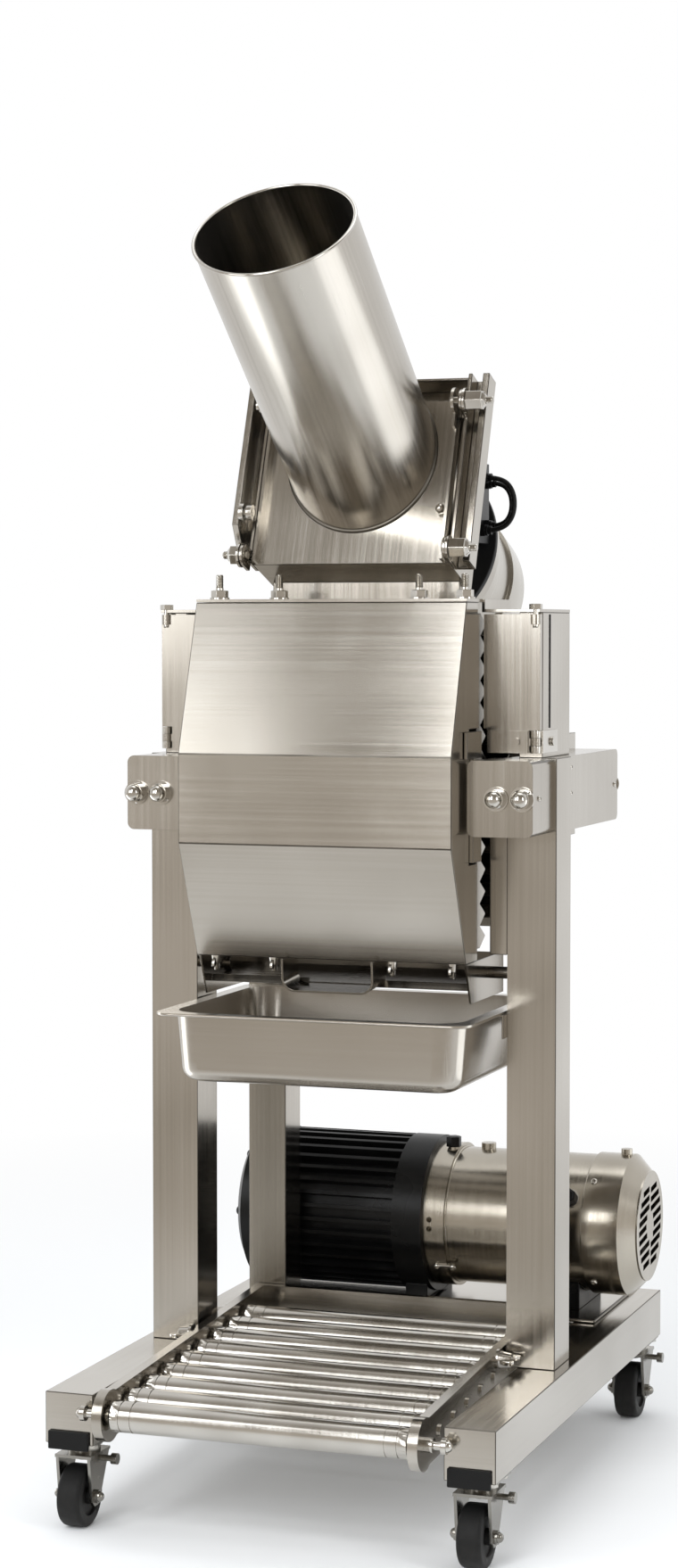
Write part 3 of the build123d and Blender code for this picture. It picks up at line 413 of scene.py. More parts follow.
@dataclass(frozen=True)
class Finish:
    """A finish of the machine, with its slot in the record. Its material is made once under its name."""

    name: str
    slot: Slot = field(default=Slot.STAINLESS, kw_only=True)

    def material(self) -> bpy.types.Material:
        """Find the material, or make it at its first use.

        Returns:
            The finished material.
        """
        found = bpy.data.materials.get(self.name)
        if found:
            return found
        sheet = Sheet(self.name)
        self.lay(sheet)
        return sheet.material

    def lay(self, sheet: Sheet) -> None:
        """Lay the finish's nodes on its sheet."""
        raise NotImplementedError


@dataclass(frozen=True)
class BrushedSteel(Finish):
    """Brushed stainless sheet or tube."""

    grain: Grain
    light: Color = (0.50, 0.472, 0.428)
    dark: Color = (0.37, 0.343, 0.30)
    rough: Span = (0.14, 0.20)
    depth: float = 0.00002
    anisotropy: float = 0.4
    streaks: Span = (-0.15, 0.25)
    smudge_scale: float = 8.0
    haze: float = 0.04

    def lay(self, sheet: Sheet) -> None:
        """Lay brush marks, a slow change of tone that is partly painted sheen, wiped patches and stretched
        highlights.
        """
        marks = sheet.marks(self.grain)
        wiped = sheet.group(NodeShop.smudges(), sheet.place, Size=self.smudge_scale)
        # The slow tone is random, and it also paints sheen: lighter and darker patches that stand in for
        # reflections.
        tone = sheet.sum(sheet.spread(marks["Tone_and_painted_sheen"], WHOLE), sheet.spread(marks["Streak"], self.streaks))
        sheet.link("Base Color", sheet.mix(tone, self.dark, self.light))
        haze = sheet.spread(wiped["Mask"], (0.0, self.haze), WHOLE)
        sheet.link("Roughness", sheet.sum(sheet.spread(marks["Streak"], self.rough), haze))
        sheet.bump(marks["Streak"], self.depth)
        brushed = sheet.add("ShaderNodeTangent", direction_type="RADIAL", axis=self.grain.axle)
        sheet.link("Tangent", brushed.outputs["Tangent"])
        sheet.set(Metallic=1.0, Anisotropic=self.anisotropy)


@dataclass(frozen=True)
class PolishedSteel(Finish):
    """Bright turned or polished stainless, with fine lathe marks and slight stains."""

    grain: Grain = Grain.TURNED_X
    light: Color = (0.60, 0.58, 0.54)
    dark: Color = (0.44, 0.415, 0.375)
    rough: Span = (0.10, 0.20)
    depth: float = 0.00003
    patch_scale: float = 14.0
    smudge_scale: float = 30.0
    haze: float = 0.04

    def lay(self, sheet: Sheet) -> None:
        """Lay lathe marks, small patches of tone that are partly painted sheen, and stains."""
        marks = sheet.marks(self.grain, self.patch_scale)
        wiped = sheet.group(NodeShop.smudges(), sheet.place, Size=self.smudge_scale)
        # The patch tone is random, and it also paints sheen: lighter and darker patches that stand in for
        # reflections.
        sheet.link("Base Color", sheet.mix(sheet.spread(marks["Tone_and_painted_sheen"], WHOLE), self.dark, self.light))
        haze = sheet.spread(wiped["Mask"], (0.0, self.haze), WHOLE)
        sheet.link("Roughness", sheet.sum(sheet.spread(marks["Streak"], self.rough), haze))
        sheet.bump(marks["Streak"], self.depth)
        sheet.set(Metallic=1.0)


@dataclass(frozen=True)
class BlackCoat(Finish):
    """Black paint or coating on metal, with a slight orange-peel surface and rubbed patches."""

    color: Color = (0.004, 0.004, 0.004)
    rubbed: Color = (0.010, 0.0098, 0.0095)
    rough: Span = (0.26, 0.40)
    depth: float = 0.0002
    bump: float = 0.6
    specular: float = 0.20
    patch_scale: float = 18.0
    smudge_scale: float = 22.0
    slot: Slot = field(default=Slot.BLACK_PAINT, kw_only=True)

    def lay(self, sheet: Sheet) -> None:
        """Lay the orange peel and the rubbed patches."""
        peel = sheet.marks(Grain.CAST, self.patch_scale)
        wiped = sheet.group(NodeShop.smudges(), sheet.place, Size=self.smudge_scale)
        sheet.link("Base Color", sheet.mix(wiped["Mask"], self.color, self.rubbed))
        sheet.link("Roughness", sheet.spread(peel["Tone_and_painted_sheen"], self.rough))
        sheet.bump(peel["Streak"], self.depth, self.bump)
        sheet.set(Specular_IOR_Level=self.specular)


@dataclass(frozen=True)
class Rubber(Finish):
    """Matt black rubber or hard tread, dusty near the floor."""

    color: Color = (0.006, 0.006, 0.006)
    dust: Color = (0.03, 0.028, 0.025)
    rough: Span = (0.48, 0.66)
    depth: float = 0.0002
    bump: float = 0.5
    specular: float = 0.20
    patch_scale: float = 27.0
    slot: Slot = field(default=Slot.BLACK_RUBBER, kw_only=True)

    def lay(self, sheet: Sheet) -> None:
        """Lay the rough skin and the dust."""
        skin = sheet.marks(Grain.CAST, self.patch_scale)
        dust = sheet.group(NodeShop.floor_dust(), sheet.place)
        sheet.link("Base Color", sheet.mix(dust["Mask"], self.color, self.dust))
        sheet.link("Roughness", sheet.spread(skin["Tone_and_painted_sheen"], self.rough))
        sheet.bump(skin["Streak"], self.depth, self.bump)
        sheet.set(Specular_IOR_Level=self.specular)


COVER_STEEL = BrushedSteel("cover_steel", Grain.ALONG_X, rough=(0.17, 0.21), anisotropy=0.75)
UPRIGHT_STEEL = BrushedSteel("upright_steel", Grain.ALONG_Z)
CROSS_STEEL = BrushedSteel("cross_steel", Grain.ALONG_X)
RAIL_STEEL = BrushedSteel("rail_steel", Grain.ALONG_Y)
HOOD_STEEL = BrushedSteel("hood_steel", Grain.UP_HOOD)
TUBE_STEEL = BrushedSteel("tube_steel", Grain.DOWN_TUBE, rough=(0.18, 0.25))
PAN_STEEL = BrushedSteel("pan_steel", Grain.ALONG_X, light=(0.45, 0.42, 0.375), dark=(0.41, 0.38, 0.336),
                         rough=(0.21, 0.25), depth=0.000004, anisotropy=0.0)
# Painted shade: the trough's steel is made very dark to stand in for the shade inside it.
SHADED_TROUGH_STEEL = BrushedSteel("trough_steel", Grain.ALONG_X, light=(0.22, 0.20, 0.17),
                            dark=(0.14, 0.128, 0.108), rough=(0.20, 0.28))
# Painted shade: this dark steel on rounded edges, round corners and the tube's weld stands in for dark edge
# lines.
SHADED_EDGE_STEEL = PolishedSteel("edge_steel", Grain.CAST, light=(0.16, 0.145, 0.125), dark=(0.08, 0.072, 0.06),
                           rough=(0.30, 0.42))
MOTOR_STEEL = PolishedSteel("motor_steel", Grain.TURNED_X, light=(0.45, 0.415, 0.355),
                            dark=(0.34, 0.31, 0.26), rough=(0.17, 0.25))
FORK_STEEL = PolishedSteel("fork_steel", Grain.CAST, light=(0.36, 0.345, 0.315), dark=(0.20, 0.19, 0.17),
                           rough=(0.16, 0.26))
BELL_STEEL = PolishedSteel("bell_steel", Grain.TURNED_HOOD, rough=(0.16, 0.28))
ROLLER_STEEL = PolishedSteel("roller_steel", Grain.TURNED_X, rough=(0.13, 0.20))
BRIGHT_STEEL = PolishedSteel("bright_steel", Grain.TURNED_X, rough=(0.08, 0.18), slot=Slot.POLISHED)
BLACK_PAINT = BlackCoat("black_coat")
BLACK_RUBBER = Rubber("rubber_skin")
TREAD = Rubber("tread_skin")
LEAD_JACKET = Rubber("lead_skin", rough=(0.30, 0.42), slot=Slot.LEAD_JACKET)


class Bench:
    """Hand-modelling moves: primitives, edit-mode moves, modifiers and copies."""

    crease = 28.0
    smooth_margin = 6.0
    bevel_steps = 2
    normal_weight = 60
    facing_up = 0.9

    @staticmethod
    def clear() -> None:
        """Leave edit mode and select nothing."""
        if bpy.context.object and bpy.context.object.mode != "OBJECT":
            bpy.ops.object.mode_set(mode="OBJECT")
        bpy.ops.object.select_all(action="DESELECT")

    @staticmethod
    def take(obj: Piece) -> None:
        """Select one object and make it active."""
        Bench.clear()
        obj.select_set(True)
        bpy.context.view_layer.objects.active = obj

    @staticmethod
    def apply_place(obj: Piece) -> None:
        """Move an object's place, turn and scale into its mesh."""
        Bench.take(obj)
        bpy.ops.object.transform_apply(location=True, rotation=True, scale=True)

    @staticmethod
    def top(obj: Piece) -> None:
        """Select the faces that look up, and stay in edit mode."""
        Bench.take(obj)
        bpy.ops.object.mode_set(mode="EDIT")
        bpy.ops.mesh.select_mode(type="FACE")
        bpy.ops.mesh.select_all(action="DESELECT")
        bpy.ops.object.mode_set(mode="OBJECT")
        for face in obj.data.polygons:
            face.select = face.normal.z > Bench.facing_up
        bpy.ops.object.mode_set(mode="EDIT")

    @staticmethod
    def narrow(factor: float) -> None:
        """Scale what is selected across Z."""
        bpy.ops.transform.resize(value=(factor, factor, 1.0))

    @staticmethod
    def pull(rise: float, factor: float = 1.0) -> None:
        """Extrude what is selected along Z, and narrow its end by a factor."""
        bpy.ops.mesh.extrude_region_move(TRANSFORM_OT_translate={"value": (0, 0, rise)})
        Bench.narrow(factor)

    @staticmethod
    def modify(obj: Piece, kind: str, **values: object) -> None:
        """Add a modifier, set it and apply it.

        Args:
            obj: the mesh object.
            kind: the modifier's type.
            values: attribute name to value.
        """
        Bench.take(obj)
        added = obj.modifiers.new(kind.lower(), kind)
        for key, value in values.items():
            setattr(added, key, value)
        bpy.ops.object.modifier_apply(modifier=added.name)

    @staticmethod
    def smooth(obj: Piece, angle: float) -> None:
        """Shade an object smoothly, apart from folds above an angle in degrees."""
        Bench.take(obj)
        bpy.ops.object.shade_smooth_by_angle(angle=math.radians(angle))

    @staticmethod
    def ease(obj: Piece, width: float, crease: float = crease, slot: int = -1, free: bool = False) -> None:
        """Round the sharp edges and shade the result smoothly.

        Args:
            obj: the mesh object.
            width: bevel width.
            crease: smallest fold, in degrees, that counts as an edge.
            slot: material index of the rounded edges, or -1 for that of the faces beside them.
            free: true where the width holds also beside short edges.
        """
        Bench.modify(obj, "BEVEL", width=width, segments=Bench.bevel_steps, limit_method="ANGLE",
                     angle_limit=math.radians(crease), material=slot, use_clamp_overlap=not free)
        Bench.smooth(obj, crease + Bench.smooth_margin)
        Bench.modify(obj, "WEIGHTED_NORMAL", keep_sharp=True, weight=Bench.normal_weight)

    @staticmethod
    def round_bar(name: str, radius: float, depth: float, vertices: int = 32) -> Piece:
        """Cylinder that stands on the origin along Z.

        Args:
            name: the object's name.
            radius: outer radius.
            depth: height.
            vertices: sides.

        Returns:
            The new object.
        """
        Bench.clear()
        bpy.ops.mesh.primitive_cylinder_add(vertices=vertices, radius=radius, depth=depth,
                                            location=(0, 0, depth / 2))
        made = bpy.context.object
        made.name = name
        Bench.apply_place(made)
        return made

    @staticmethod
    def ring(name: str, radius: float, bead: float, place: Matrix, sides: int = 12) -> Piece:
        """Smooth ring about the Z axis of a place.

        Args:
            name: the object's name.
            radius: radius of its middle line.
            bead: radius of its section.
            place: where it goes, with its stretch.
            sides: sides of its section.

        Returns:
            The new object.
        """
        Bench.clear()
        bpy.ops.mesh.primitive_torus_add(major_radius=radius, minor_radius=bead, major_segments=FULL_ROUND,
                                         minor_segments=sides)
        made = bpy.context.object
        made.name = name
        made.data.transform(place)
        Bench.take(made)
        bpy.ops.object.shade_smooth()
        return made

    @staticmethod
    def merge(pieces: list[Piece], name: str) -> Piece:
        """Join pieces into one object.

        Args:
            pieces: the objects.
            name: the result's name.

        Returns:
            The joined object.
        """
        Bench.clear()
        for piece in pieces:
            piece.select_set(True)
        bpy.context.view_layer.objects.active = pieces[0]
        if len(pieces) > 1:
            bpy.ops.object.join()
        made = bpy.context.object
        made.name = name
        made.data.name = name
        return made

    @staticmethod
    def repeat(model: Piece, places: list[Matrix], name: str) -> Piece:
        """Copy a model to each place, each with its own mesh, and join the copies.

        Args:
            model: the object to copy, which is used up.
            places: one matrix per copy.
            name: the result's name.

        Returns:
            The joined object.
        """
        copies = []
        for place in places:
            copy = model.copy()
            copy.data = model.data.copy()
            copy.data.transform(place)
            bpy.context.scene.collection.objects.link(copy)
            copies.append(copy)
        bpy.data.objects.remove(model)
        return Bench.merge(copies, name)

    @staticmethod
    def paint(obj: Piece, finish: Finish) -> None:
        """Give an object one material."""
        obj.data.materials.clear()
        obj.data.materials.append(finish.material())

    @staticmethod
    def settle(obj: Piece, finish: Finish, body: Body = Body.FRAME, node: str = "") -> None:
        """Finish a new piece: its material and the body it rides.

        Args:
            obj: the piece.
            finish: its material.
            body: the body that carries it.
            node: the CAD node that it stands for, if any.
        """
        Bench.paint(obj, finish)
        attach(obj, body.value)
        if node:
            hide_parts(node)
        LOG.info("piece %s", obj.name)

    @staticmethod
    def fit(name: str, model: Piece, places: list[Matrix], finish: Finish) -> None:
        """Copy a fastener to its places on the frame, as one finished piece.

        Args:
            name: the piece's name.
            model: the fastener, which is used up.
            places: one matrix per copy.
            finish: its material.
        """
        Bench.settle(Bench.repeat(model, places, name), finish)


@dataclass(frozen=True)
class Skin:
    """How a CAD node is dressed.

    The width rounds its edges, where it isn't 0, and the crease is the smallest fold, in degrees, that counts
    as an edge. Edges of brushed steel have a finish of their own, by default a dark steel that is painted
    shade along them. A free rounding keeps its width also beside short edges. Points nearer than the weld
    become one, and folds below the flat angle, in degrees, are taken out. An end face is one whose normal has
    at least that share along the grain.
    """

    node: str
    finish: Finish
    width: float = 0.0
    crease: float = Bench.crease
    edge: Finish = SHADED_EDGE_STEEL
    free: bool = False
    weld: float = 0.00001
    flat: float = 0.4
    end_face: float = 0.8

    def lay(self) -> None:
        """Replace the node by a copy with eased edges and smooth round faces."""
        source = frame["nodes"][self.node]
        body = source["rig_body"]
        Bench.clear()
        piece = source.copy()
        piece.data = source.data.copy()
        piece.parent = None
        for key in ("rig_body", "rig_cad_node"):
            del piece[key]
        piece.name = piece.data.name = self.node + "_skin"
        bpy.context.scene.collection.objects.link(piece)
        Bench.take(piece)
        bpy.ops.object.mode_set(mode="EDIT")
        bpy.ops.mesh.select_all(action="SELECT")
        bpy.ops.mesh.remove_doubles(threshold=self.weld)
        bpy.ops.mesh.dissolve_limited(angle_limit=math.radians(self.flat))
        bpy.ops.object.mode_set(mode="OBJECT")
        Bench.paint(piece, self.finish)
        slot = self.brush_ends(piece) if isinstance(self.finish, BrushedSteel) else -1
        if self.width:
            Bench.ease(piece, self.width, self.crease, slot, self.free)
        else:
            Bench.smooth(piece, self.crease + Bench.smooth_margin)
        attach(piece, body)
        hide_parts(self.node)
        LOG.info("skin %s", self.node)

    def brush_ends(self, piece: Piece) -> int:
        """Add the edges' finish, by default dark steel that is painted shade, and brush the faces that the
        marks run into the other way.

        Args:
            piece: the skin, painted with its main finish.

        Returns:
            The material index of the edges.
        """
        axis = self.finish.grain.across
        piece.data.materials.append(self.edge.material())
        if axis is not None:
            piece.data.materials.append((CROSS_STEEL if axis else UPRIGHT_STEEL).material())
            for face in piece.data.polygons:
                face.material_index = 2 if abs(face.normal[axis]) > self.end_face else 0
        return 1


def along(point: Point | Vector, axis: Point | Vector) -> Matrix:
    """Placement of a model whose own axis is Z.

    Args:
        point: where its foot goes.
        axis: where its Z axis points.

    Returns:
        The placement.
    """
    turn = Vector(UP).rotation_difference(Vector(axis).normalized())
    return Matrix.Translation(Vector(point)) @ turn.to_matrix().to_4x4()


def sideways(x: float, spots: tuple[Span, ...]) -> list[Matrix]:
    """Placements on both sides of the machine that point outwards.

    Args:
        x: distance from the machine's middle.
        spots: Y and Z of each.

    Returns:
        The placements, the left ones first.
    """
    return [along((side.value * x, y, z), (side.value, 0, 0)) for side in Side for y, z in spots]


class Fasteners:
    """Small hardware, each modelled once along Z and copied.

    Insets, dips and edges are shares of the piece's own radius or height. Each step is a rise and how much
    the end narrows. Folds and tilts are in degrees, and the thread's pitch in metres.
    """

    nut_inset, nut_edge, nut_step = 0.16, 0.07, (0.06, 0.94)
    dome_inset, dome_edge, dome_steps = 0.12, 0.06, ((0.16, 0.86), (0.2, 0.72))
    washer_inset, washer_dip, washer_edge, washer_sides = 0.22, -0.15, 0.22, 40
    thread_pitch, thread_tip, thread_steps = 0.0013, 0.8, ((0.35, 0.86), (0.65, 1.0 / 0.86))
    thread_fold, thread_turns, stud_sides = 40.0, 3, 24
    button_foot, button_steps = 0.4, ((0.35, 0.86), (0.2, 0.7))
    button_inset, button_dip, button_fold, button_sides = 0.12, -0.45, 48.0, 28
    hub_taper, hub_edge, wing_sides = 0.72, 0.1, 28
    ear_radius, ear_depth, ear_edge, ear_tilt = 0.2, 0.5, 0.12, -28.0
    ear_stretch, ear_out, ear_up = (0.8, 1.25, 1.0, 1.0), 0.3, 0.85

    @staticmethod
    def hex_nut(corner: float, height: float) -> Piece:
        """Hexagon nut with chamfered corners and a raised washer face.

        Args:
            corner: distance from the axis to a corner.
            height: nut height.

        Returns:
            The model.
        """
        nut = Bench.round_bar("hex_nut", corner, height, HEXAGON)
        Bench.top(nut)
        bpy.ops.mesh.inset(thickness=corner * Fasteners.nut_inset)
        rise, factor = Fasteners.nut_step
        Bench.pull(height * rise, factor)
        Bench.ease(nut, corner * Fasteners.nut_edge)
        return nut

    @staticmethod
    def domed_nut(corner: float, height: float) -> Piece:
        """Long hexagon nut whose end closes in a low cone.

        Args:
            corner: distance from the axis to a corner.
            height: hexagon height, without the cone.

        Returns:
            The model.
        """
        nut = Bench.round_bar("domed_nut", corner, height, HEXAGON)
        Bench.top(nut)
        bpy.ops.mesh.inset(thickness=corner * Fasteners.dome_inset)
        for rise, factor in Fasteners.dome_steps:
            Bench.pull(corner * rise, factor)
        Bench.ease(nut, corner * Fasteners.dome_edge)
        return nut

    @staticmethod
    def washer(radius: float, height: float) -> Piece:
        """Flat washer with rounded edges and a shallow step.

        Args:
            radius: outer radius.
            height: thickness.

        Returns:
            The model.
        """
        disc = Bench.round_bar("washer", radius, height, Fasteners.washer_sides)
        Bench.top(disc)
        bpy.ops.mesh.inset(thickness=radius * Fasteners.washer_inset)
        Bench.pull(height * Fasteners.washer_dip)
        Bench.ease(disc, height * Fasteners.washer_edge)
        return disc

    @staticmethod
    def stud(radius: float, plain: float, thread: float) -> Piece:
        """Round stud with a plain foot and a threaded end.

        Args:
            radius: outer radius.
            plain: plain length from the foot.
            thread: threaded length.

        Returns:
            The model.
        """
        bar = Bench.round_bar("stud", radius, plain, Fasteners.stud_sides)
        turns = max(Fasteners.thread_turns, round(thread / Fasteners.thread_pitch))
        Bench.top(bar)
        for _ in range(turns):
            for rise, factor in Fasteners.thread_steps:
                Bench.pull(thread / turns * rise, factor)
        Bench.narrow(Fasteners.thread_tip)
        Bench.smooth(bar, Fasteners.thread_fold)
        return bar

    @staticmethod
    def button(radius: float, height: float) -> Piece:
        """Button-head screw with a socket.

        Args:
            radius: head radius.
            height: head height.

        Returns:
            The model.
        """
        head = Bench.round_bar("button", radius, height * Fasteners.button_foot, Fasteners.button_sides)
        Bench.top(head)
        for rise, factor in Fasteners.button_steps:
            Bench.pull(height * rise, factor)
        bpy.ops.mesh.inset(thickness=radius * Fasteners.button_inset)
        Bench.pull(height * Fasteners.button_dip)
        Bench.smooth(head, Fasteners.button_fold)
        return head

    @staticmethod
    def wing_nut(radius: float, height: float, span: float) -> Piece:
        """Wing nut: a tapered hub and two rounded ears.

        Args:
            radius: hub radius.
            height: hub height.
            span: distance between the ears' tips.

        Returns:
            The model.
        """
        hub = Bench.round_bar("wing_nut", radius, height, Fasteners.wing_sides)
        Bench.top(hub)
        Bench.narrow(Fasteners.hub_taper)
        Bench.ease(hub, radius * Fasteners.hub_edge)
        depth = radius * Fasteners.ear_depth
        stand = Matrix.Rotation(math.radians(Fasteners.ear_tilt), 4, "X") @ Euler(
            (QUARTER_TURN, 0, QUARTER_TURN)).to_matrix().to_4x4()
        out = Matrix.Translation((0, span * Fasteners.ear_out, height * Fasteners.ear_up))
        middle = Matrix.Diagonal(Fasteners.ear_stretch) @ Matrix.Translation((0, 0, -depth / 2))
        parts = [hub]
        for turn in (0.0, math.pi):
            ear = Bench.round_bar("ear", span * Fasteners.ear_radius, depth, Fasteners.wing_sides)
            ear.data.transform(Matrix.Rotation(turn, 4, "Z") @ out @ stand @ middle)
            Bench.ease(ear, radius * Fasteners.ear_edge)
            parts.append(ear)
        return Bench.merge(parts, "wing_nut")


@dataclass
class Assembly:
    """A sub-assembly of the machine: the pieces that it adds, and the skins of its CAD nodes."""

    skins: tuple[Skin, ...] = ()

    def build(self) -> None:
        """Model the pieces that are added."""
        raise NotImplementedError

    def dress(self) -> None:
        """Skin the CAD nodes."""
        for skin in self.skins:
            skin.lay()


@dataclass
class BaseFrame(Assembly):
    """Rails, beams, columns, posts, side plates and casters."""

    plate_half: Span = (0.017, 0.016)
    plate_z: float = 0.082
    casters: tuple[Span, ...] = ((-0.201, -0.267), (0.201, -0.267), (-0.201, 0.315), (0.201, 0.315))
    bolt: Span = (0.0048, 0.004)
    seam_x: float = 0.2002
    seam_y: float = -0.035
    seam_z: Span = (0.770, 0.882)
    seam_section: Span = (0.0012, 0.0024)
    seam_edge: float = 0.0003
    skins: tuple[Skin, ...] = (
        Skin("base_rails", RAIL_STEEL, 0.0009, free=True),
        Skin("columns", UPRIGHT_STEEL, 0.0009, free=True),
        Skin("rear_posts", UPRIGHT_STEEL, 0.0009, free=True),
        Skin("cross_beams", CROSS_STEEL, 0.0015),
        Skin("side_plates", UPRIGHT_STEEL, 0.0008),
        Skin("rail_pads", BLACK_RUBBER, 0.0012),
        Skin("caster_plates", FORK_STEEL, 0.0006),
        *(skin for corner in ("fl", "fr", "rl", "rr") for skin in (
            Skin(f"caster_fork_{corner}", FORK_STEEL, 0.0006),
            Skin(f"caster_wheel_{corner}", TREAD),
        )),
    )

    def build(self) -> None:
        """Add the caster plate bolts and the seam strips on the side plates."""
        half_x, half_y = self.plate_half
        spots = [along((x + dx * half_x, y + dy * half_y, self.plate_z), DOWN)
                 for x, y in self.casters for dx in (-1, 1) for dy in (-1, 1)]
        Bench.fit("caster_bolts", Fasteners.hex_nut(*self.bolt), spots, BRIGHT_STEEL)
        low, high = self.seam_z
        strips = []
        for side in Side:
            Bench.clear()
            bpy.ops.mesh.primitive_cube_add(
                size=1.0, location=(side.value * self.seam_x, self.seam_y, (low + high) / 2))
            strip = bpy.context.object
            strip.scale = (*self.seam_section, high - low)
            Bench.apply_place(strip)
            Bench.ease(strip, self.seam_edge)
            strips.append(strip)
        Bench.settle(Bench.merge(strips, "seam_strips"), BLACK_RUBBER)


@dataclass
class RollerBed(Assembly):
    """Bed bars, rollers, axles and the wing screws that hold the bed."""

    rollers: int = 9
    screw_x: float = 0.162
    screw_spots: tuple[Span, ...] = ((-0.082, 0.147), (0.017, 0.147))
    wing: Point = (0.009, 0.015, 0.034)
    washer: Span = (0.0105, 0.003)
    skins: tuple[Skin, ...] = (
        Skin("bed_bars", RAIL_STEEL, 0.0012),
        Skin("bed_axles", BRIGHT_STEEL, 0.0004),
        *(Skin(f"roller_{index}", ROLLER_STEEL) for index in range(1, rollers + 1)),
    )

    def build(self) -> None:
        """Model the wing screws in place of the plain ones."""
        places = sideways(self.screw_x, self.screw_spots)
        wings = Bench.repeat(Fasteners.wing_nut(*self.wing), places, "bed_wings")
        rims = Bench.repeat(Fasteners.washer(*self.washer), places, "bed_washers")
        Bench.settle(Bench.merge([wings, rims], "bed_wing_set"), BRIGHT_STEEL, node="bed_wing_screws")


@dataclass
class PressFrame(Assembly):
    """Side boxes, tie rods, crossheads, press plates, cylinder and top plate."""

    lid_x: float = 0.211
    lid_spots: tuple[Span, ...] = ((-0.112, 0.704), (0.004, 0.704), (0.180, 0.704), (0.004, 0.730))
    lid_screw: Span = (0.0028, 0.002)
    studs: tuple[Span, ...] = ((-0.129, -0.088), (-0.074, -0.064), (0.074, -0.064), (0.129, -0.088))
    stud: Point = (0.004, 0.0115, 0.0133)
    stud_washer: Span = (0.010, 0.002)
    stud_nut: Span = (0.0088, 0.007)
    top: float = 0.897
    cap: float = 0.887
    pivot: Span = (0.195, -0.068)
    pivot_head: Span = (0.0068, 0.005)
    pivot_pin: Span = (0.003, 0.0170)
    corner_normal: float = 0.84
    skins: tuple[Skin, ...] = (
        Skin("side_boxes", UPRIGHT_STEEL, 0.0012),
        Skin("tie_rods", BRIGHT_STEEL),
        Skin("crossheads", CROSS_STEEL, 0.0012),
        Skin("front_press_plate", CROSS_STEEL, 0.0008),
        Skin("press_platen", CROSS_STEEL, 0.0008),
        Skin("press_cylinder", MOTOR_STEEL, 0.0008),
        Skin("top_plate", CROSS_STEEL, 0.0008),
    )

    def build(self) -> None:
        """Add the lid screws, the top studs and the door pivot bolts."""
        lids = sideways(self.lid_x, self.lid_spots)
        Bench.fit("lid_screws", Fasteners.button(*self.lid_screw), lids, BRIGHT_STEEL)
        feet = [along((x, y, self.top), UP) for x, y in self.studs]
        lifted = [Matrix.Translation((0, 0, self.stud_washer[1])) @ place for place in feet]
        x, y = self.pivot
        heads = [along((side.value * x, y, self.cap), UP) for side in Side]
        pins = [Matrix.Translation((0, 0, -self.pivot_pin[1])) @ place for place in heads]
        parts = [
            Bench.repeat(Fasteners.washer(*self.stud_washer), feet, "stud_washers"),
            Bench.repeat(Fasteners.hex_nut(*self.stud_nut), lifted, "stud_nuts"),
            Bench.repeat(Fasteners.stud(*self.stud), feet, "studs"),
            Bench.repeat(Fasteners.hex_nut(*self.pivot_head), heads, "pivot_heads"),
            Bench.repeat(Bench.round_bar("pivot", *self.pivot_pin), pins, "pivot_pins"),
        ]
        Bench.settle(Bench.merge(parts, "top_stud_set"), BRIGHT_STEEL, node="top_studs")

    def dress(self) -> None:
        """Skin the press frame, and give the side boxes' round corners the dark finish of the edges, as
        painted shade.
        """
        super().dress()
        for face in bpy.data.objects["side_boxes_skin"].data.polygons:
            if max(abs(part) for part in face.normal) < self.corner_normal:
                face.material_index = 1


@dataclass
class FrontGuards(Assembly):
    """Front cover with its wing nuts, and the two guard doors."""

    nut_x: tuple[float, ...] = (-0.124, -0.062, 0.062, 0.124)
    nut_y: float = -0.111
    nut_z: float = 0.5415
    wing: Point = (0.006, 0.0085, 0.021)
    stud: Point = (0.003, 0.006, 0.009)
    skins: tuple[Skin, ...] = (
        Skin("front_cover", COVER_STEEL, 0.0009, crease=12.0),
        Skin("guard_door_left", UPRIGHT_STEEL, 0.0006),
        Skin("guard_door_right", UPRIGHT_STEEL, 0.0006),
        Skin("door_hinges", BRIGHT_STEEL, 0.0005),
    )

    def build(self) -> None:
        """Model the wing nuts under the cover."""
        ears_along_x = Matrix.Rotation(QUARTER_TURN, 4, "Z")
        places = [along((x, self.nut_y, self.nut_z), DOWN) @ ears_along_x for x in self.nut_x]
        wings = Bench.repeat(Fasteners.wing_nut(*self.wing), places, "cover_wings")
        studs = Bench.repeat(Fasteners.stud(*self.stud), places, "cover_studs")
        nuts = Bench.merge([wings, studs], "cover_nut_set")
        Bench.settle(nuts, BRIGHT_STEEL, Body.COVER, "cover_wing_nuts")


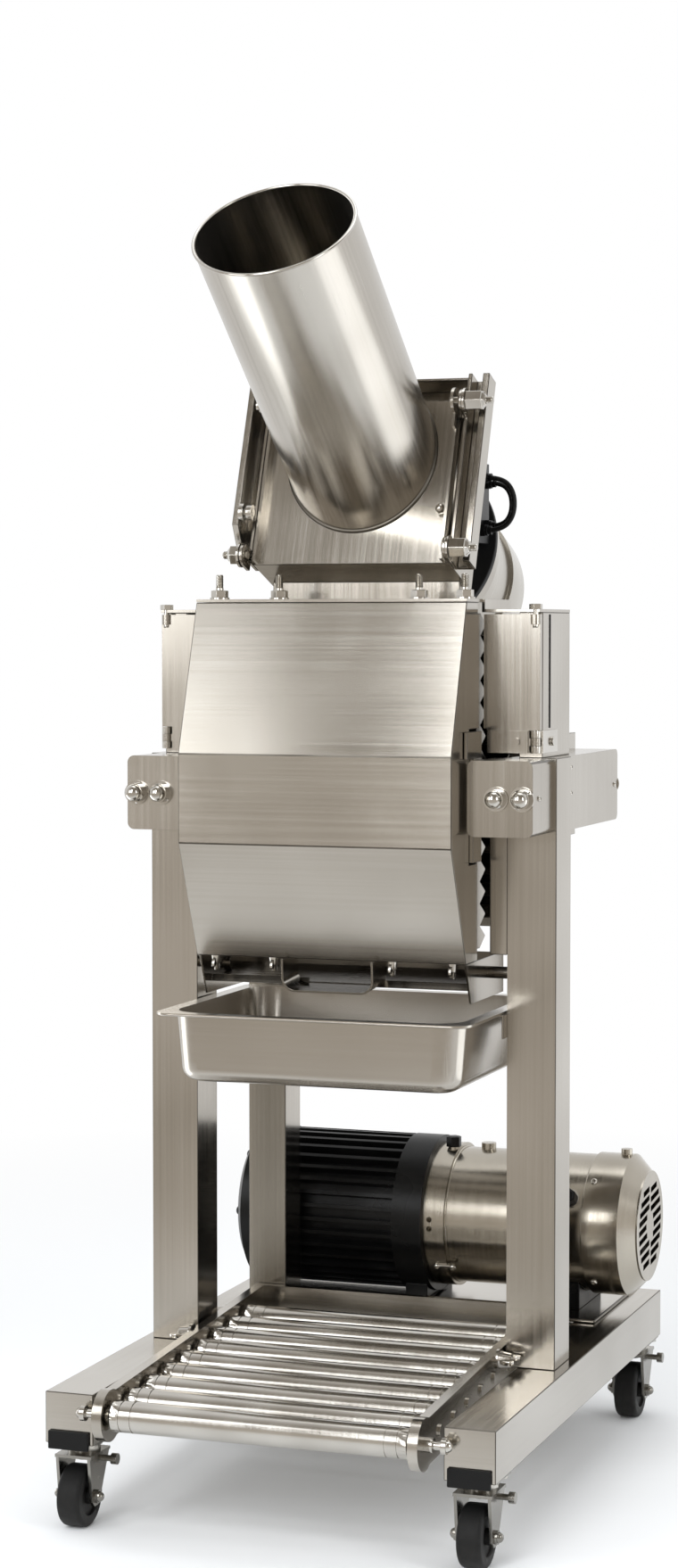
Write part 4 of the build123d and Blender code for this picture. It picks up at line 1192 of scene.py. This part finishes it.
@dataclass
class JuiceTray(Assembly):
    """Trough with its spout, pan with a rolled rim, and runners."""

    pan_size: Span = (0.3225, 0.2625)
    pan_y: float = -0.0545
    rim_z: float = 0.4885
    corner: float = 0.0155
    corner_steps: int = 10
    bead: float = 0.0014
    bead_steps: int = 3
    skins: tuple[Skin, ...] = (
        # The trough's dark steel is painted shade. Its edges keep bright steel.
        Skin("juice_trough", SHADED_TROUGH_STEEL, 0.0005, edge=BRIGHT_STEEL),
        Skin("pan", PAN_STEEL),
        Skin("pan_runners", RAIL_STEEL, 0.0005),
    )

    def build(self) -> None:
        """Roll a bead round the pan's rim."""
        Bench.clear()
        bpy.ops.mesh.primitive_plane_add(size=1.0, location=(0, self.pan_y, self.rim_z))
        rim = bpy.context.object
        rim.name = "pan_rim_bead"
        rim.scale = (*self.pan_size, 1.0)
        Bench.apply_place(rim)
        bpy.ops.object.mode_set(mode="EDIT")
        bpy.ops.mesh.select_all(action="SELECT")
        bpy.ops.mesh.bevel(offset=self.corner, segments=self.corner_steps, affect="VERTICES")
        bpy.ops.mesh.select_all(action="SELECT")
        bpy.ops.mesh.delete(type="ONLY_FACE")
        bpy.ops.object.mode_set(mode="OBJECT")
        bpy.ops.object.convert(target="CURVE")
        rim = bpy.context.object
        rim.data.bevel_depth = self.bead
        rim.data.bevel_resolution = self.bead_steps
        bpy.ops.object.convert(target="MESH")
        bpy.ops.object.shade_smooth()
        Bench.settle(bpy.context.object, PAN_STEEL, Body.PAN)


@dataclass(frozen=True)
class HoodBolt:
    """Hinge or clamp bolt of the hood: places along X count from the machine's middle.

    A collar is its place, its radius and its thickness. A nut stands on a washer against the arm.
    """

    side: Side
    up_plate: float
    start: float
    end: float
    nut: float = 0.0
    collars: tuple[Point, ...] = ()


@dataclass
class Grinder(Assembly):
    """Feed hood with its tube, housing, motor and junction box."""

    at: Point = (0.0, -0.022, 1.042)
    tilt: float = 20.0
    tube_radius: float = 0.0775
    tube_length: float = 0.320
    tube_lean: float = 52.0
    tube_foot: float = -0.05
    tube_skin: float = 0.001
    tube_normal: float = 0.25
    rim_lean: float = 38.0
    rim_bead: float = 0.0014
    rim_sink: float = 0.0006
    weld_bead: float = 0.0022
    weld_stand: float = 0.0004
    pin_out: float = 0.020
    arm_face: float = 0.1081
    washer: Span = (0.0125, 0.0024)
    nut_corner: float = 0.0105
    bolt_radius: float = 0.004
    thread: float = 0.0065
    gland_x: float = 0.096
    gland_nut: Span = (0.0068, 0.0045)
    glands: tuple[Span, ...] = ((0.076, 1.023), (0.076, 0.969), (0.090, 1.018), (0.090, 0.974))
    bolts: tuple[HoodBolt, ...] = (
        HoodBolt(Side.LEFT, 0.049, 0.0952, 0.1121, collars=((0.1081, 0.0070, 0.0038),)),
        HoodBolt(Side.RIGHT, 0.049, 0.0952, 0.1380, nut=0.0165),
        HoodBolt(Side.RIGHT, -0.108, 0.1016, 0.1380, nut=0.0165),
        HoodBolt(Side.LEFT, -0.114, 0.1016, 0.1280, nut=0.0085),
        HoodBolt(Side.LEFT, -0.068, 0.1016, 0.1150,
                 collars=((0.1022, 0.0080, 0.0056), (0.1102, 0.0100, 0.0048))),
    )
    skins: tuple[Skin, ...] = (
        Skin("feed_hood", HOOD_STEEL, 0.0005),
        Skin("grinder_housing", HOOD_STEEL, 0.0007),
        Skin("grinder_supports", UPRIGHT_STEEL, 0.0008),
        Skin("cutter", BELL_STEEL),
        Skin("grinder_gasket", BLACK_RUBBER, 0.0012),
        Skin("grinder_motor", BELL_STEEL, 0.0012),
        Skin("grinder_fan_cover", BELL_STEEL, 0.0008),
        Skin("junction_box", BLACK_PAINT, 0.0006),
    )

    @property
    def tube_way(self) -> Vector:
        """Direction of the feed tube, from the hood to its mouth."""
        turn = math.radians(self.tube_lean)
        return Vector((0, -math.sin(turn), math.cos(turn)))

    def lean(self, x: float, up_plate: float, out: float) -> Vector:
        """Point of the hood's frame.

        Args:
            x: across the machine.
            up_plate: up the hood's plate.
            out: out of the plate.

        Returns:
            The point.
        """
        turn = math.radians(self.tilt)
        rise = Vector((0, math.sin(turn), math.cos(turn)))
        normal = Vector((0, -math.cos(turn), math.sin(turn)))
        return Vector(self.at) + Vector((x, 0, 0)) + rise * up_plate + normal * out

    def tube_ring(self, name: str, lean: float, center: Vector, bead: float) -> Piece:
        """Oval ring where a plane cuts the feed tube.

        Args:
            name: the ring's name.
            lean: angle of the plane's normal from upright, towards the front, in degrees.
            center: the ring's centre.
            bead: radius of its section.

        Returns:
            The ring.
        """
        stretch = 1.0 / math.cos(math.radians(self.tube_lean - lean))
        place = Matrix.Translation(center) @ Matrix.Rotation(math.radians(lean), 4, "X")
        return Bench.ring(name, self.tube_radius, bead, place @ Matrix.Diagonal((1.0, stretch, 1.0, 1.0)))

    def bolt_parts(self, bolt: HoodBolt) -> list[Piece]:
        """Model one bolt of the hood where it sits.

        Args:
            bolt: which side, how high and how long.

        Returns:
            Its rod, with its collars or its washer and domed nut.
        """
        sign = bolt.side.value

        def fit(model: Piece, x: float, name: str) -> Piece:
            """Set a model on the bolt's line at a distance from the machine's middle."""
            place = along(self.lean(sign * x, bolt.up_plate, self.pin_out), (sign, 0, 0))
            return Bench.repeat(model, [place], name)

        length = bolt.end - bolt.start
        if not bolt.nut:
            rod = Bench.round_bar("pin", self.bolt_radius, length)
            collars = [fit(Fasteners.washer(*size), x, "pin_collar") for x, *size in bolt.collars]
            return [fit(rod, bolt.start, "pin"), *collars]
        rod = Fasteners.stud(self.bolt_radius, length - self.thread, self.thread)
        return [
            fit(rod, bolt.start, "pin"),
            fit(Fasteners.washer(*self.washer), self.arm_face, "pin_washer"),
            fit(Fasteners.domed_nut(self.nut_corner, bolt.nut), self.arm_face + self.washer[1], "pin_nut"),
        ]

    def build(self) -> None:
        """Add the tube's rim and weld, the hood's pins and the gland nuts."""
        mouth = Vector(self.at) + self.tube_way * (self.tube_length - self.rim_sink)
        rim = self.tube_ring("tube_rim", self.rim_lean, mouth, self.rim_bead)
        Bench.settle(rim, BRIGHT_STEEL, Body.HOOD)
        foot = self.lean(0, 0, self.weld_stand)
        weld = self.tube_ring("tube_weld", 90.0 - self.tilt, foot, self.weld_bead)
        # The weld takes the dark edge steel: painted shade along the joint of tube and hood.
        Bench.settle(weld, SHADED_EDGE_STEEL, Body.HOOD)
        parts = [part for bolt in self.bolts for part in self.bolt_parts(bolt)]
        Bench.settle(Bench.merge(parts, "hood_pin_set"), BRIGHT_STEEL, node="hood_pins")
        seats = [along((self.gland_x, y, z), (1, 0, 0)) for y, z in self.glands]
        Bench.fit("gland_nuts", Fasteners.hex_nut(*self.gland_nut), seats, BLACK_PAINT)

    def dress(self) -> None:
        """Skin the grinder, and brush the tube down its length."""
        super().dress()
        hood = bpy.data.objects["feed_hood_skin"].data
        hood.materials.append(TUBE_STEEL.material())
        way = self.tube_way
        for face in hood.polygons:
            arm = face.center - Vector(self.at)
            reach = arm.dot(way)
            near = (arm - way * reach).length < self.tube_radius + self.tube_skin and reach > self.tube_foot
            # Faces already in the dark edge steel keep that painted shade.
            if near and abs(face.normal.dot(way)) < self.tube_normal and face.material_index == 0:
                face.material_index = len(hood.materials) - 1


@dataclass
class MotorLeads(Assembly):
    """Two black leads that loop between glands of the junction box."""

    diameter: float = 0.005
    lengths: Span = (0.0947, 0.0750)
    order: int = 3
    route_steps: int = 16
    section_steps: int = 5
    routes: dict[str, tuple[Point, ...]] = field(default_factory=lambda: {
        "motor_lead_a": (
            (0.101, 0.076, 1.023), (0.118, 0.076, 1.023), (0.131, 0.076, 1.008),
            (0.131, 0.076, 0.984), (0.118, 0.076, 0.969), (0.101, 0.076, 0.969)),
        "motor_lead_b": (
            (0.101, 0.090, 1.018), (0.114, 0.090, 1.018), (0.124, 0.090, 1.006),
            (0.124, 0.090, 0.986), (0.114, 0.090, 0.974), (0.101, 0.090, 0.974)),
    })

    def build(self) -> None:
        """Lay each lead as one smooth spline through its route's control points."""
        for (node, route), length in zip(self.routes.items(), self.lengths):
            curve = bpy.data.curves.new(node + "_line", "CURVE")
            curve.dimensions = "3D"
            spline = curve.splines.new("NURBS")
            spline.points.add(len(route) - 1)
            for point, place in zip(spline.points, route):
                point.co = (*place, 1.0)
            spline.order_u = self.order
            spline.use_endpoint_u = True
            spline.resolution_u = self.route_steps
            curve.bevel_depth = self.diameter / 2
            curve.bevel_resolution = self.section_steps
            curve.use_fill_caps = True
            lead = bpy.data.objects.new(node + "_line", curve)
            bpy.context.scene.collection.objects.link(lead)
            Bench.settle(lead, LEAD_JACKET, node=node)


@dataclass
class PowerUnit(Assembly):
    """Motor, finned pump housing, feet, fan and cowl along the back."""

    axis_y: float = 0.238
    axis_z: float = 0.226
    band_x: tuple[float, ...] = (0.0292, 0.112, 0.1815)
    band_radius: float = 0.0735
    band_bead: float = 0.0011
    band_stretch: float = 1.6
    band_sides: int = 10
    cap_face: float = -0.2095
    cap_screw_radius: float = 0.066
    cap_screw_angles: tuple[float, ...] = (30, 90, 150, 210, 270, 330)
    cap_screw: Span = (0.0048, 0.004)
    cowl_x: float = 0.190
    cowl_radius: float = 0.076
    cowl_screw_angles: tuple[float, ...] = (45, 135, 225, 315)
    cowl_screw: Span = (0.0036, 0.0026)
    filler: Point = (0.023, 0.218, 0.303)
    socket: Point = (0.166, 0.1745, 0.262)
    socket_collar: Span = (0.0105, 0.0022)
    cap_nut: Span = (0.0084, 0.011)
    latch: Point = (0.017, 0.1745, 0.180)
    latch_bar: tuple[float, float, int] = (0.0026, 0.020, 16)
    latch_ends: Span = (0.001, 0.019)
    latch_head: Span = (0.0038, 0.0042)
    skins: tuple[Skin, ...] = (
        Skin("power_feet", BLACK_PAINT, 0.0012),
        Skin("power_motor", MOTOR_STEEL, 0.0008),
        Skin("pump_housing", BLACK_PAINT, 0.0008),
        Skin("power_fan", BLACK_PAINT),
        Skin("fan_cowl", MOTOR_STEEL, 0.0007),
    )

    def around(self, x: float, radius: float, angle: float) -> Point:
        """Point on a circle round the motor's axis, angle from straight up, in degrees."""
        turn = math.radians(angle)
        return (x, self.axis_y + radius * math.sin(turn), self.axis_z + radius * math.cos(turn))

    def outward(self, point: Point) -> Matrix:
        """Placement at a point, pointing away from the motor's axis."""
        return along(point, (0.0, point[1] - self.axis_y, point[2] - self.axis_z))

    def build(self) -> None:
        """Add the motor's bands, caps and latch, and the screws of the cap and cowl."""
        section = Matrix.Rotation(QUARTER_TURN, 4, "Y") @ Matrix.Diagonal((1.0, 1.0, self.band_stretch, 1.0))
        bands = [
            Bench.ring("band", self.band_radius, self.band_bead,
                       Matrix.Translation((x, self.axis_y, self.axis_z)) @ section, self.band_sides)
            for x in self.band_x
        ]
        Bench.settle(Bench.merge(bands, "motor_bands"), MOTOR_STEEL)
        cap = [along(self.around(self.cap_face, self.cap_screw_radius, angle), (-1, 0, 0))
               for angle in self.cap_screw_angles]
        Bench.fit("cap_screws", Fasteners.button(*self.cap_screw), cap, BLACK_PAINT)
        rim = [self.outward(self.around(self.cowl_x, self.cowl_radius, angle))
               for angle in self.cowl_screw_angles]
        Bench.fit("cowl_screws", Fasteners.button(*self.cowl_screw), rim, BRIGHT_STEEL)
        seat = self.outward(self.socket)
        Bench.fit("motor_caps", Fasteners.hex_nut(*self.cap_nut), [along(self.filler, UP), seat], BLACK_PAINT)
        Bench.fit("socket_collar", Fasteners.washer(*self.socket_collar), [seat], BRIGHT_STEEL)
        rod = Bench.round_bar("latch_bar", *self.latch_bar)
        bar = Bench.repeat(rod, [along(self.latch, (1, 0, 0))], "latch_bar")
        ends = [self.outward((self.latch[0] + step, *self.latch[1:])) for step in self.latch_ends]
        heads = Bench.repeat(Fasteners.button(*self.latch_head), ends, "latch_heads")
        Bench.settle(Bench.merge([bar, heads], "ring_latch"), BRIGHT_STEEL)


@dataclass(frozen=True)
class SoftBox:
    """A soft box: where it hangs, its width and height, and its watts."""

    name: str
    place: Point
    size: Span
    power: float


@dataclass
class Studio:
    """Pale floor, soft light and the camera at the photograph's view."""

    camera_at: Point = (1.015, -2.9595, 0.8679)
    pitch: float = 87.1
    azimuth: float = 19.5
    lens: float = 70.4
    sensor: float = 36.0
    sight: float = 60.0
    floor_radius: float = 9.0
    floor_rough: float = 0.9
    floor_specular: float = 0.1
    floor_pale: Color = (0.90, 0.90, 0.90)
    floor_shade_span: Span = (-1.10, -0.35)
    floor_fade: Span = (0.7, 2.2)
    warm: Color = (0.65, 0.60, 0.54)
    painted_floor_shade: Color = (0.49, 0.455, 0.41)
    shade: Color = (0.33, 0.295, 0.25)
    front_way: Point = (0.30, -0.90, 0.30)
    front_turn: Span = (0.0, 0.60)
    front_rise: Span = (0.02, 0.42)
    air: tuple[float, float, float, float] = (0.97, 0.985, 1.0, 1.0)
    air_strength: float = 0.80
    cool: Color = (0.94, 0.97, 1.0)
    aim: Point = (0.0, 0.0, 0.7)
    lamps: tuple[SoftBox, ...] = (
        SoftBox("left_box", (-1.55, -2.36, 1.57), (0.95, 1.62), 17.0),
        SoftBox("high_box", (-0.28, -2.75, 1.95), (0.90, 2.2), 44.0),
        SoftBox("low_right_box", (1.25, 0.55, 0.35), (0.9, 0.9), 3.0),
        SoftBox("low_left_box", (-0.70, -0.10, 0.15), (0.35, 0.8), 2.2),
        SoftBox("right_box", (2.60, -1.30, 1.50), (0.7, 1.6), 20.0),
        SoftBox("top_box", (0.2, 0.5, 3.4), (2.0, 2.0), 20.0),
    )

    def build(self) -> None:
        """Set the floor, world, lamps and camera."""
        self.floor()
        self.world()
        for box in self.lamps:
            self.hang(box)
        view = bpy.data.cameras.new("camera")
        view.lens = self.lens
        view.sensor_width = self.sensor
        view.clip_end = self.sight
        camera = bpy.data.objects.new("camera", view)
        camera.location = self.camera_at
        camera.rotation_euler = (math.radians(self.pitch), 0.0, math.radians(self.azimuth))
        bpy.context.scene.collection.objects.link(camera)
        bpy.context.scene.camera = camera
        bpy.context.scene.view_settings.view_transform = "Standard"

    def floor(self) -> None:
        """Lay a pale disc that fades to the white backdrop behind the machine, with painted shadow in front:
        its colour and glow turn a warm grey there.
        """
        Bench.clear()
        bpy.ops.mesh.primitive_circle_add(vertices=FULL_ROUND, radius=self.floor_radius, fill_type="NGON")
        disc = bpy.context.object
        disc.name = "studio_floor"
        sheet = Sheet("pale_floor")
        sheet.set(Roughness=self.floor_rough, Specular_IOR_Level=self.floor_specular)
        # Painted shadow: the floor's colour darkens towards the front of the machine.
        front = sheet.spread(sheet.parts(sheet.place)["Y"], (1.0, 0.0), self.floor_shade_span)
        sheet.link("Base Color", sheet.mix(front, self.floor_pale, self.painted_floor_shade))
        reach = sheet.add("ShaderNodeVectorMath", operation="LENGTH")
        sheet.join(sheet.place, reach.inputs[0])
        fade = sheet.spread(reach.outputs["Value"], WHOLE, self.floor_fade)
        glow = sheet.add("ShaderNodeEmission")
        sheet.fill(glow, Strength=1.0)
        # Its glow turns warm grey in front too: painted shade that the metal reflects.
        sheet.join(sheet.mix(front, WHITE, self.warm), glow.inputs["Color"])
        surface = sheet.blend(sheet.reckon("MULTIPLY", fade, sheet.seen()), sheet.shader.outputs["BSDF"],
                              glow.outputs["Emission"])
        sheet.join(surface, sheet.tree.nodes["Material Output"].inputs["Surface"])
        disc.data.materials.append(sheet.material)

    def world(self) -> None:
        """Light from all round: a white backdrop, and a warm front that darkens upwards."""
        world = bpy.data.worlds.new("studio")
        world.use_nodes = True
        bpy.context.scene.world = world
        board = NodeBoard(world.node_tree)
        board.tree.nodes.clear()
        way = board.add("ShaderNodeTexCoord").outputs["Generated"]
        facing = board.add("ShaderNodeVectorMath", operation="DOT_PRODUCT")
        facing.inputs[1].default_value = Vector(self.front_way).normalized()
        board.join(way, facing.inputs[0])
        front = board.mix(board.spread(board.parts(way)["Z"], WHOLE, self.front_rise), self.warm, self.shade)
        turn = board.spread(facing.outputs["Value"], WHOLE, self.front_turn)
        soft = board.add("ShaderNodeBackground")
        board.fill(soft, Color=self.air, Strength=self.air_strength)
        back = board.add("ShaderNodeBackground")
        board.fill(back, Strength=1.0)
        board.join(board.mix(turn, WHITE, front), back.inputs["Color"])
        surface = board.blend(board.seen(), soft.outputs["Background"], back.outputs["Background"])
        board.join(surface, board.add("ShaderNodeOutputWorld").inputs["Surface"])

    def hang(self, box: SoftBox) -> None:
        """Hang a soft box aimed at the middle of the machine.

        Args:
            box: the lamp's place, size and power.
        """
        light = bpy.data.lights.new(box.name, "AREA")
        light.shape = "RECTANGLE"
        light.size, light.size_y = box.size
        light.energy = box.power
        light.color = self.cool
        lamp = bpy.data.objects.new(box.name, light)
        lamp.location = box.place
        aim = Vector(self.aim) - Vector(box.place)
        lamp.rotation_euler = aim.to_track_quat("-Z", "Y").to_euler()
        lamp.visible_camera = False
        bpy.context.scene.collection.objects.link(lamp)


def main() -> None:
    """Build and dress every sub-assembly."""
    logging.basicConfig(level=logging.INFO, format="%(name)s: %(message)s")
    Studio().build()
    for kind in (MotorLeads, BaseFrame, RollerBed, PressFrame, FrontGuards, JuiceTray, Grinder, PowerUnit):
        assembly = kind()
        assembly.build()
        assembly.dress()
        LOG.info("built %s", kind.__name__)


if __name__ == "__main__":
    main()
